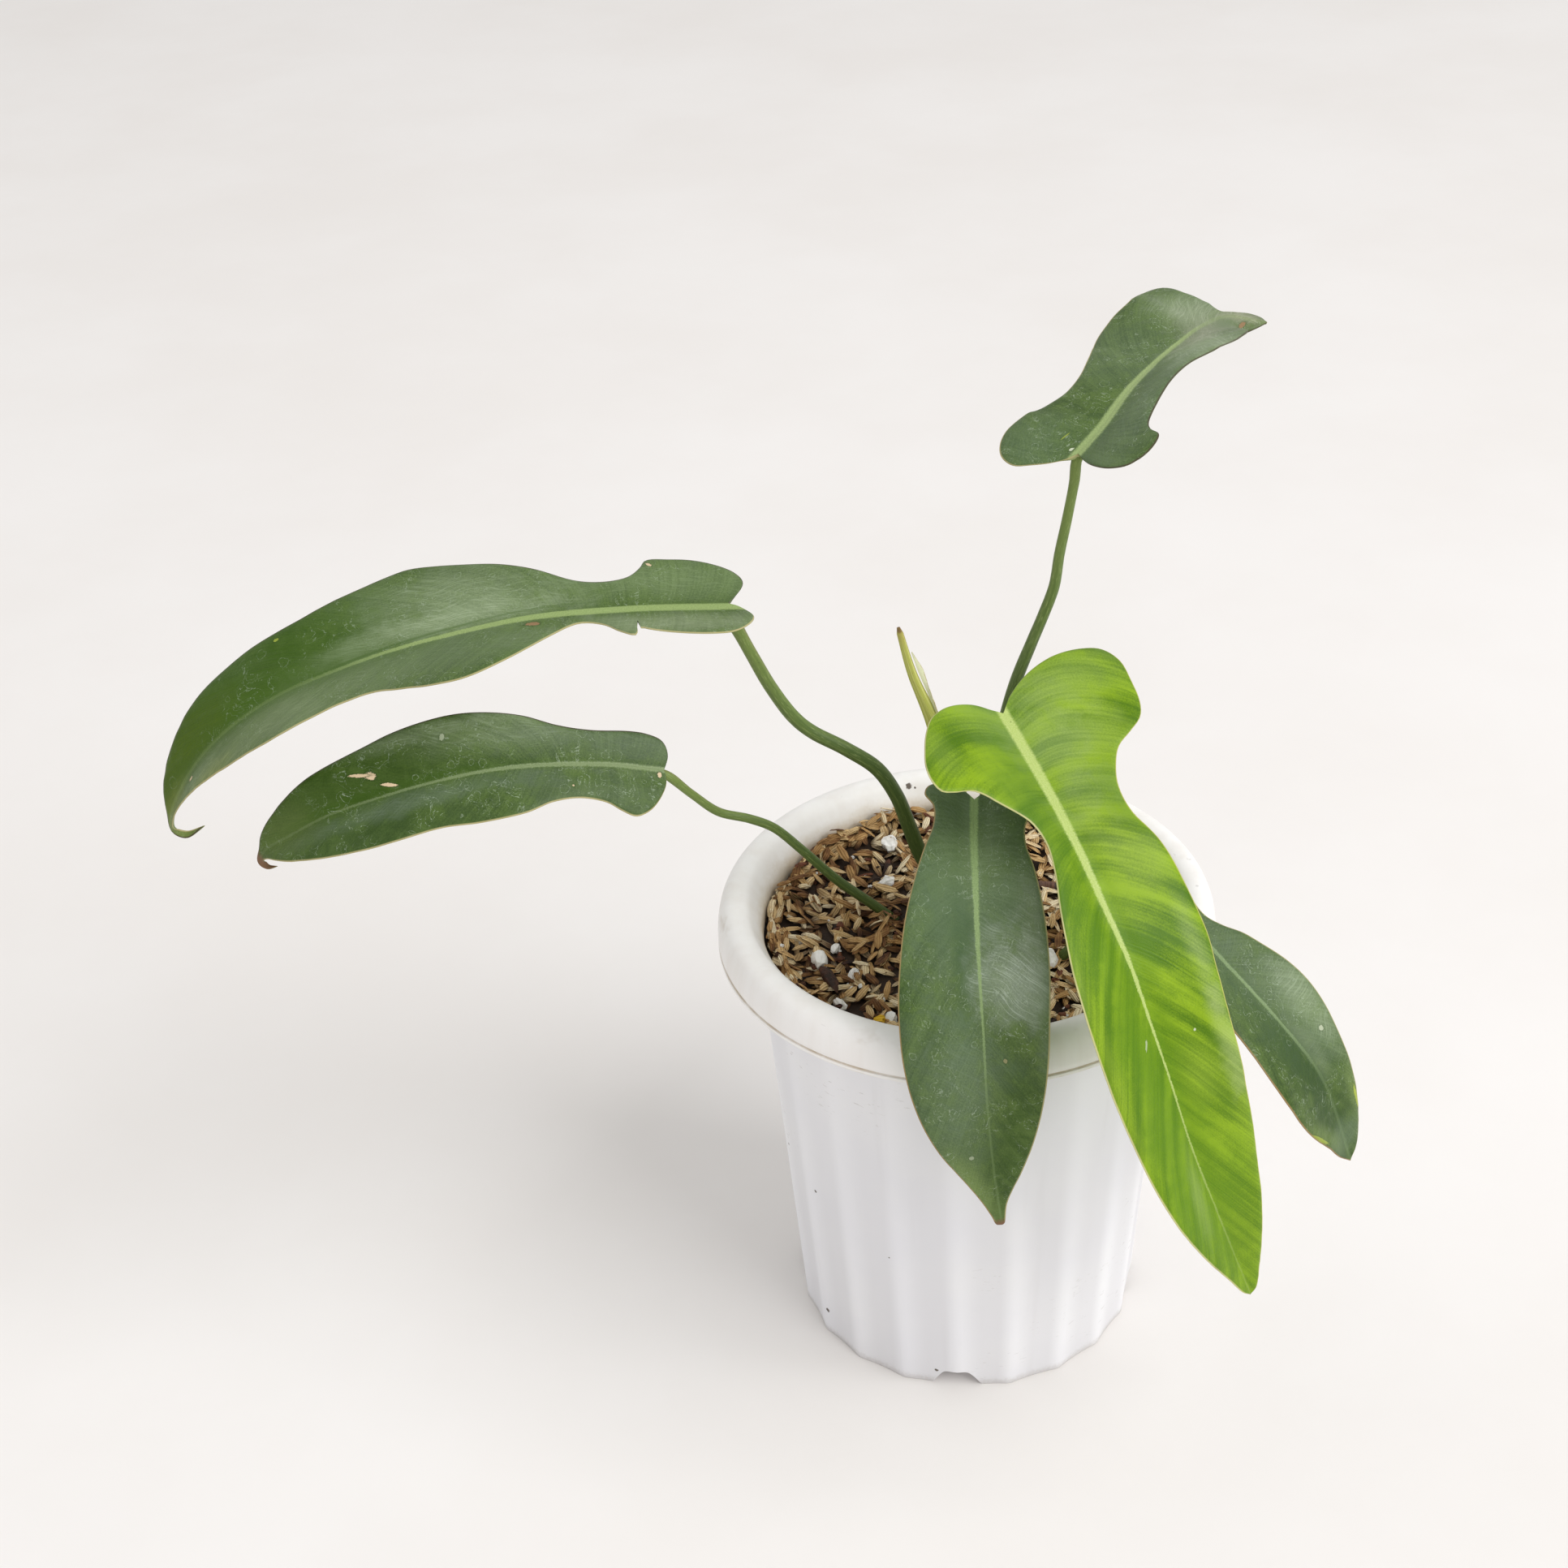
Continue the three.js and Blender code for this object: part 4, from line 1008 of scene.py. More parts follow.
def husk_form():
    """One husk, two long: a boat with a rounded back, from a ball of few faces."""
    section = [(-1, 0.0), (-0.45, 0.75), (0.45, 0.75), (1, 0.0), (0, 0.35)]
    sides, sag = len(section), 0.25
    begin()
    bpy.ops.mesh.primitive_uv_sphere_add(segments=sides, ring_count=4, radius=1)
    husk = named("husk")
    points, marks = [], []
    for vertex in husk.data.vertices:
        x, y, along = vertex.co
        width = (1 - abs(along) ** 2.4) ** 0.7
        turn = round((math.atan2(y, x) % (2 * math.pi)) / (2 * math.pi / sides)) % sides
        across, up = section[(turn + 3) % sides] if width > 0.01 else (0, 0)
        points.append((along, across * width, up * width**0.6 - sag * along**2))
        marks.append((along, across * width))
    return np.array(points), np.array(marks), faces_of(husk)


def crumb_form(seed, rough):
    """An angular grain about two across: a ball with an uneven surface."""
    begin()
    bpy.ops.mesh.primitive_ico_sphere_add(subdivisions=2, radius=1)
    crumb = named("crumb")
    start = Vector((seed, 3.1, seed))
    points = np.array([vertex.co * (1 + rough * noise.noise(vertex.co * 1.2 + start))
                       for vertex in crumb.data.vertices])
    return points, points[:, :2].copy(), faces_of(crumb)


class Grains:
    """Collects copies of small forms as one mesh."""

    def __init__(self):
        self.points, self.marks, self.kinds, self.faces = [], [], [], []
        self.count = 0

    def add(self, form, size, turn, slopes, place, kind, tint, flip=False):
        """One copy of a form; flip lays it on its back."""
        points, marks, faces = form
        points = points * np.array(size) / 2
        if flip:
            points = points * np.array([1, -1, -1])
        along, across = slopes
        rotation = (Matrix.Rotation(turn, 3, "Z") @ Matrix.Rotation(-math.atan(along), 3, "Y")
                    @ Matrix.Rotation(math.atan(across), 3, "X"))
        points = points @ np.array(rotation).T + np.array(place)
        self.points.append(points)
        self.marks.append(np.column_stack([marks, np.full(len(points), tint)]))
        self.kinds.append(np.full(len(points), kind, float))
        self.faces += [tuple(self.count + index for index in face) for face in faces]
        self.count += len(points)

    def piece(self, name):
        mesh = bpy.data.meshes.new(name)
        mesh.from_pydata(np.vstack(self.points) * MM, [], self.faces)
        keep_attribute(mesh, "grain", np.vstack(self.marks))
        keep_attribute(mesh, "kind", np.concatenate(self.kinds))
        piece = bpy.data.objects.new(name, mesh)
        bpy.context.scene.collection.objects.link(piece)
        return piece


HUSK, MINERAL, BARK, BED = 0, 1, 2, 3
YELLOW_TINT = 3.0  # all other tints lie between 0 and 1
# The large strip of bark and the yellow crumb: place, turn and size
BARK_STRIP = (-48, -31, 1.94, (15, 5, 3.2))
YELLOW_CRUMB = (-30, -53.6, 0.3, (4.4, 3.4, 2.8))
LAST_HUSKS = 60  # laid after these two
# Least and most: husks as shares of a usual one, the others in millimetres
HUSK_LENGTHS, HUSK_WIDTHS, HUSK_HEIGHTS = (0.62, 1.12), (0.7, 1.2), (1.1, 2.0)
CRUMB_SIZES, CHIP_SIZES = (0.8, 1.6), (1.2, 2.6)
WALL_GAPS = (1.6, 4.5)  # between the wall and the middle of a husk that lies along it
FLIP_CHANCE = 0.35  # of a husk that lies on its back
BARK_CHANCE = 0.045  # of a flat bit of bark in place of a husk
CRUMB_CHANCE = 0.045  # of a small white grain after a husk
CHIP_CHANCE = 0.05  # of a small chip of bark after a husk
LEAN = 0.34  # how far husks tip out of the slope under them
SEATED = 0.3  # height of a grain's middle over its seat, in thicknesses
COVERED = 0.9  # share of its length and width that carries the grains above
ROUNDED = 0.6  # height of its rounded back, in thicknesses


def strew(settings):
    """Lays the grains one by one on what is already there."""
    draw = random.Random(settings.seed)
    pile = Pile(bed_level)
    grains = Grains()
    husk = husk_form()
    crumbs = [crumb_form(seed, 0.55) for seed in range(4)]
    pebbles = [crumb_form(seed + 9, 0.6) for seed in range(3)]

    def lay(form, x, y, turn, size, kind, tint, lean=0.0, sink=0.0):
        length, width, thick = size
        height, along, across = pile.seat(x, y, turn, length, width)
        along += lean * draw.uniform(-1, 1)
        across += lean * draw.uniform(-1, 1)
        place = (x, y, height + thick * (SEATED - sink))
        grains.add(form, size, turn, (along, across), place, kind, tint,
                   flip=kind == HUSK and draw.random() < FLIP_CHANCE)
        length, width, height = length * COVERED, width * COVERED, height - thick * sink
        pile.cover(x, y, turn, length, width, height, along, across, thick * ROUNDED)

    def anywhere(reach):
        radius, angle = reach * math.sqrt(draw.random()), draw.uniform(0, 2 * math.pi)
        return radius * math.cos(angle), radius * math.sin(angle)

    for index in range(settings.husk_count):
        if index == settings.husk_count * 2 // 3:
            for x, y, radius in PERLITE:
                size = (2.0 * radius, 1.5 * radius, 1.4 * radius)
                lay(draw.choice(pebbles), x, y, draw.uniform(0, 3), size, MINERAL, draw.random(), sink=0.1)
        if index == settings.husk_count - LAST_HUSKS:
            lay(pebbles[0], *BARK_STRIP, BARK, 0.35)
            lay(crumbs[1], *YELLOW_CRUMB, MINERAL, YELLOW_TINT)
        length = settings.husk_length / MM * draw.uniform(*HUSK_LENGTHS)
        width = settings.husk_width / MM * draw.uniform(*HUSK_WIDTHS)
        x, y = anywhere(SOIL_RADIUS - 1.5)
        if index % 6 == 0:
            # one in six lies along the wall
            outward = (SOIL_RADIUS - draw.uniform(*WALL_GAPS)) / max(math.hypot(x, y), 1.0)
            x, y = x * outward, y * outward
        turn = draw.uniform(0, 2 * math.pi)
        room = SOIL_RADIUS - 0.4 - math.hypot(x, y)
        if room < length / 2:
            turn = math.atan2(y, x) + math.pi / 2 + draw.uniform(-0.35, 0.35)
        size = (length, width, draw.uniform(*HUSK_HEIGHTS))
        kind = HUSK
        if draw.random() < BARK_CHANCE:
            kind, size = BARK, (length * 0.8, width * 0.9, 1.4)
        lay(husk, x, y, turn, size, kind, draw.random(), lean=LEAN)
        if draw.random() < CRUMB_CHANCE:
            x, y = anywhere(SOIL_RADIUS - 2)
            across = draw.uniform(*CRUMB_SIZES)
            lay(draw.choice(crumbs), x, y, turn, (across * 1.2, across, across), MINERAL, draw.random())
        if draw.random() < CHIP_CHANCE:
            x, y = anywhere(SOIL_RADIUS - 3)
            across = draw.uniform(*CHIP_SIZES)
            lay(draw.choice(crumbs), x, y, turn, (across * 1.6, across, across * 0.8), BARK, draw.random())
    return grains.piece("husks")


def medium_finish():
    f = Finish("rice_husk_medium")
    along, across, tint = f.split(f.attribute("grain", vector=True))
    kind = f.attribute("kind")
    place = f.place()
    x, y, z = f.split(place)
    grit = f.speckle(place, 1400, detail=3, roughness=0.6)
    blotch = f.speckle(place, 260, detail=2)
    wide = f.speckle(place, 24, detail=2)
    ribs = f.sum("SINE", across * 10 + along * 1.2 + (blotch - 0.5) * 5) * 0.5 + 0.5
    # painted light: the husks towards the right are drawn lighter, where more light falls on the filling
    dry = f.between(x, 0.0, 0.05) * 0.2
    shade = tint * 0.9 + (blotch - 0.5) * 0.5 + (wide - 0.5) * 0.5 + dry + 0.08
    husk = f.ramp(shade, (0.0, tone(84, 54, 34)), (0.18, tone(140, 100, 58)), (0.42, tone(198, 158, 102)),
                  (0.72, tone(232, 202, 148)), (1.0, tone(250, 236, 200)))
    ends = f.between(abs(along), 0.6, 1.0)
    husk = f.darken(ribs * 0.45 + ends * 0.3, husk, tone(140, 102, 68))
    husk = f.darken(f.between(grit, 0.5, 0.75) * 0.4, husk, tone(150, 118, 88))
    # painted shade: husks that lie deeper are drawn darker, less so towards the right
    depth = SOIL_LEVEL - z * (1 / MM) + y * (SOIL_RISE / MM)
    husk = f.darken(f.between(depth + dry * -6, -0.8, 2.4), husk, tone(96, 70, 50))
    white = f.mix(f.between(blotch, 0.35, 0.75), tone(252, 250, 247), tone(232, 228, 220))
    white = f.mix(f.between(grit, 0.64, 0.76) * 0.4, white, tone(186, 176, 160))
    white = f.mix(f.between(tint, 1.5, 2.5), white, tone(232, 186, 50))
    bark = f.mix(f.between(tint + (blotch - 0.5), 0.1, 0.9), tone(38, 27, 22), tone(112, 66, 44))
    # painted shade: the bed is drawn nearly black, for the deep shade in the gaps between the husks
    bed = f.mix(blotch, tone(30, 21, 14), tone(60, 42, 28))
    colour = husk
    for number, skin in ((MINERAL, white), (BARK, bark), (BED, bed)):
        colour = f.mix(f.between(kind, number - 0.6, number - 0.4), colour, skin)
    relief = f.bump(ribs * 0.6 + grit * 0.5, 0.0004)
    return f.surface(Base_Color=colour, Roughness=(grit - 0.5) * 0.3 + 0.7, Normal=relief,
                     Specular_IOR_Level=0.3)


def build_medium(settings):
    """The dark bed, turned and then roughened on top, with the grains that lie on it."""
    bed_top = SOIL_LEVEL - BED_DEPTH
    profile = [(BASE_RADIUS - WALL - 3.3, FLOOR_TOP + 0.3), (BASE_RADIUS - WALL - 1.3, FLOOR_TOP + 2.3),
               (SOIL_RADIUS - 0.3, SOIL_LEVEL - SOIL_SHOULDER)]
    rings = [(SOIL_RADIUS * (1 - k / BED_RINGS), bed_top) for k in range(BED_RINGS)]
    bed = turned("growing_medium_bed", [*profile, *rings, (0, bed_top)], 72)
    points = points_of(bed.data)
    top = points[:, 2] > bed_top - 1
    rough = drift(points[:, 0] * 0.35, points[:, 1] * 0.35) * BED_ROUGHNESS
    points[top, 2] = (bed_level(points[:, 0], points[:, 1]) + rough)[top]
    place_points(bed.data, points)
    keep_attribute(bed.data, "grain", np.zeros((len(points), 3)))
    keep_attribute(bed.data, "kind", np.full(len(points), float(BED)))
    bed = joined([bed, strew(settings)])
    bed.name = bed.data.name = "potting_mix"
    smooth(bed, 38)
    hand_over(bed, "growing_medium", medium_finish(), "growing_medium")


# Stem, root, sheath and stalks


def build_stem(settings):
    def radius_at(share, angle):
        plain = spread(STEM["radii"], share)
        count, height, width = STEM["scars"]
        scars = height * np.exp(-((np.mod(share * count, 1) - 0.5) / width) ** 2)
        lumps = STEM["lumps"] * drift(np.cos(angle) * 1.4, np.sin(angle) * 1.4, share * 9)
        round_top = np.sqrt(np.clip((1.02 - share) / 0.12, 0.03, 1))
        return (plain + scars + lumps) * round_top

    piece = rod("crown_stem", STEM["line"], radius_at, settings.sides, step=0.9)
    smooth(piece, 60)
    f = Finish("stem_skin")
    place = f.place()
    run, _, share = f.split(f.attribute("run", vector=True))
    grain = f.speckle(place, 320, detail=4, roughness=0.6)
    bark = f.between(share + (grain - 0.5) * 0.4, 0.75, 0.4)
    green = f.darken(grain * 0.6, settings.green, tone(170, 180, 160))
    colour = f.mix(bark, green, f.darken(grain * 0.7, settings.bark, tone(160, 146, 136)))
    relief = f.bump(f.speckle(f.vector(run * 0.9, grain), 1.0, detail=3) + grain, 0.0003)
    hand_over(piece, "stem", f.surface(Base_Color=colour, Roughness=grain * 0.3 + 0.5, Normal=relief), "stem")


def build_aerial_root(settings):
    def radius_at(share, angle):
        knots = drift(np.cos(angle) * 0.8, np.sin(angle) * 0.8, share * 26)
        return spread(AERIAL_ROOT["radii"], share) * (1 + AERIAL_ROOT["uneven"] * knots)

    piece = rod("dry_aerial_root", AERIAL_ROOT["line"], radius_at, settings.sides, step=0.7)
    smooth(piece, 60)
    f = Finish("root_skin")
    place = f.place()
    run, _, _ = f.split(f.attribute("run", vector=True))
    wrinkle = f.speckle(f.vector(run * 1.4, 0.0, f.speckle(place, 500)), 1.0, detail=3)
    colour = f.mix(f.between(wrinkle, 0.3, 0.7), tone(44, 30, 26), settings.skin)
    relief = f.bump(wrinkle, 0.0004)
    finish = f.surface(Base_Color=colour, Roughness=0.75, Normal=relief)
    hand_over(piece, "aerial_root", finish, "aerial_root")


MEMBRANE_ANGLE = 9.0  # larger than any angle round the spike, so the finish can tell it apart


def sheath_membrane():
    """The thin torn edge that stands out from the spike's right side."""
    begin()
    bpy.ops.mesh.primitive_grid_add(x_subdivisions=22, y_subdivisions=3, size=2)
    piece = named("sheath_membrane")
    grid = points_of(piece.data) * MM
    along, out = (grid[:, 0] + 1) / 2, (grid[:, 1] + 1) / 2
    inner = spread(MEMBRANE["inner"], along)
    outer = spread(MEMBRANE["outer"], along)
    place = inner + (outer - inner) * out[:, None]
    place[:, 0] += MEMBRANE["torn"] * drift(along * 19, 2.7) * out
    place[:, 1] += MEMBRANE["curl"] * np.sin(along * 7) * out**2
    place_points(piece.data, place)
    keep_attribute(piece.data, "run", np.stack([along * 30, np.full_like(along, MEMBRANE_ANGLE), out], -1))
    apply_modifier(piece, "SOLIDIFY", thickness=MEMBRANE["thickness"] * MM, offset=0)
    return piece


def sheath_finish(settings):
    f = Finish("sheath_skin")
    run, angle, share = f.split(f.attribute("run", vector=True))
    place = f.place()
    cos, sin = f.sum("COSINE", angle), f.sum("SINE", angle)
    streak = f.speckle(f.vector(cos * 3, sin * 3, run * 0.02), 1.0, detail=3)
    colour = f.mix(f.between(streak, 0.3, 0.7), settings.dark_green, settings.light_green)
    colour = f.mix(f.between(share, 0.9, 1.0) * 0.5, colour, tone(160, 138, 66))
    rim = f.between(sin, 0.9, 1.0)
    colour = f.mix(rim * 0.4 * f.between(share, 0.3, 0.6), colour, tone(140, 104, 62))
    grit = f.speckle(place, 700, detail=2)
    colour = f.mix(f.between(grit, 0.64, 0.74) * 0.5, colour, tone(132, 98, 52))
    colour = f.mix(f.between(share + (grit - 0.5) * 0.03, 0.975, 0.995) * 0.8, colour, tone(112, 78, 52))
    frayed = f.between(share + (grit - 0.5) * 0.5, 0.8, 1.0) * 0.8
    thin = f.mix(frayed, settings.membrane, tone(186, 168, 132))
    colour = f.mix(f.between(angle, 6, 8), colour, thin)
    relief = f.bump(streak, 0.0002)
    return f.surface(Base_Color=colour, Roughness=streak * 0.2 + 0.42, Normal=relief,
                     Specular_IOR_Level=0.3)


def build_sheath(settings):
    def radius_at(share, angle):
        plain = spread(SHEATH["radii"], share)
        return plain * np.clip((1.0 - share) / 0.012, 0.5, 1)

    def cross_section(share, sideways, depth):
        """Flattened from front to back, with one edge lapped over the other in front."""
        lap = SHEATH["lap"] * np.exp(-((depth / 1.2 - 0.5) ** 2)) * (sideways > 0)
        return sideways * SHEATH["flatness"] + lap, depth

    spike = rod("leaf_sheath_spike", SHEATH["line"], radius_at, settings.sides, step=0.8,
                cross_section=cross_section)
    piece = joined([spike, sheath_membrane()])
    smooth(piece, 60)
    hand_over(piece, "leaf_sheath", sheath_finish(settings), "leaf_sheath")


# Where a stalk runs on under the midrib: distance along it and depth below
STALK_RUN = np.array([(5.0, 1.5), (14.0, 1.3), (26.0, 0.8)])
STALK_SWELL = 0.14  # of the joint under the blade, as a share of the radius
STALK_UNEVEN = 0.03
STALK_FLATNESS = 0.96  # on the side that faces up


def stalk_points(leaf):
    """The stalk's line from the soil to the leaf, run on under the midrib."""
    place, up, _ = LeafForm(leaf).frame(STALK_RUN[:, 0])
    under = place - up * STALK_RUN[:, 1:]
    return [*reversed(leaf["stalk"]), *map(tuple, under)]


def stalk_finish(name, settings):
    f = Finish(f"stalk_skin_{name}")
    place = f.place()
    run, angle, share = f.split(f.attribute("run", vector=True))
    cos, sin = f.sum("COSINE", angle), f.sum("SINE", angle)
    streak = f.speckle(f.vector(cos * 2.2, sin * 2.2, run * 0.012), 1.0, detail=3, roughness=0.6)
    fleck = f.speckle(f.vector(cos * 7, sin * 7, run * 0.3), 1.0, detail=2)
    grain = f.speckle(place, 1100, detail=2)
    light, dark = settings.light_green, settings.dark_green
    colour = f.mix(f.between(streak + (fleck - 0.5) * 0.3, 0.2, 0.8), dark, light)
    top = f.between(share, 0.4, 0.9)
    colour = f.mix(top * 0.6, colour, tone(130, 148, 78))
    colour = f.mix(f.between(fleck, 0.58, 0.7) * 0.3, colour, tone(172, 184, 124))
    colour = f.mix(f.between(grain, 0.62, 0.72) * 0.3, colour, tone(54, 70, 30))
    edge = f.between(sin + (streak - 0.5) * 0.5, 0.95, 1.1)
    colour = f.mix(edge * f.between(share, 0.6, 0.85) * 0.5, colour, tone(122, 100, 70))
    foot = f.between(share + (streak - 0.5) * 0.08, 0.6, 0.05)
    colour = f.mix(foot * 0.75, colour, tone(58, 74, 32))
    relief = f.bump(streak * 0.7 + grain * 0.3, 0.00018)
    return f.surface(Base_Color=colour, Roughness=(streak - 0.5) * 0.2 + 0.42, Normal=relief,
                     Specular_IOR_Level=0.2)


def build_stalk(name, settings):
    leaf = LEAVES[name]
    points = stalk_points(leaf)
    line = SmoothLine(points)
    bare = SmoothLine(list(reversed(leaf["stalk"]))).length / line.length
    top, base = leaf["stalk_radii"]

    def radius_at(share, angle):
        plain = base + (top - base) * np.clip(share / bare, 0, 1)
        swell = STALK_SWELL * top * np.exp(-((share - bare + 0.02) / 0.03) ** 2)
        taper = 1 - step_between(share, bare, 1.0) * 0.8
        uneven = STALK_UNEVEN * drift(np.cos(angle), np.sin(angle), share * 14)
        return (plain + swell) * taper * (1 + uneven)

    def cross_section(share, sideways, depth):
        return sideways, depth * STALK_FLATNESS

    piece = rod(f"{name}_leaf_stalk", points, radius_at, settings.sides, step=1.6,
                cross_section=cross_section)
    smooth(piece, 60)
    hand_over(piece, "stalk", stalk_finish(name, settings), f"stalk_{name}")


# Leaf blades

# dark, light, rib: greens of the skin and the midrib; margin: colours of left and right edge
# bands, lines, cloud, grain: how strongly each pattern of the skin shows
# calm: where the bands grow fainter; brush: directions of the fine scratches
# water, scratched: strength of dried water marks and of the scratches
# rib_width: half width at the base, half width further on, and how far on that is
# rib_fade: where the midrib fades; rib_shift: how far it lies off the middle at first
# patches: broad tints in ovals (along, out, half length, half width, turn, strength, colour); the pale
# greyish and whitish tints are painted sheen, partly a dusty film, and the thin dark ovals just above the
# midrib are painted shade in its fold
# marks: damage in ovals (along, out, half length, half width, turn, strength, colour)
# tip: where the dry brown tip starts, past the end if there is none
# Painted sheen: the first three tints here and the first of the next line stand for the greyish light that
# the waxy skin reflects; in the sheen and glare it is partly a dusty film
SHEEN, GLARE, HAZY_SHEEN = tone(156, 172, 136), tone(184, 196, 178), tone(110, 129, 100)
GREY_SHEEN, DEEP, MOSS = tone(112, 131, 94), tone(54, 86, 0), tone(128, 150, 84)
TAN, BROWN, PALE = tone(226, 200, 166), tone(150, 116, 84), tone(206, 214, 186)
YELLOW = tone(176, 190, 72)
DARK_LOOK = {
    "dark": tone(43, 67, 19), "light": tone(92, 115, 56), "rib": tone(156, 177, 112),
    "bands": 0.16, "lines": 0.3, "cloud": 0.6, "grain": 1.0, "water": 0.35, "calm": (300, 301),
    "brush": (12, -30), "scratched": 1.0, "margin": (tone(188, 176, 128), tone(74, 58, 50)),
}
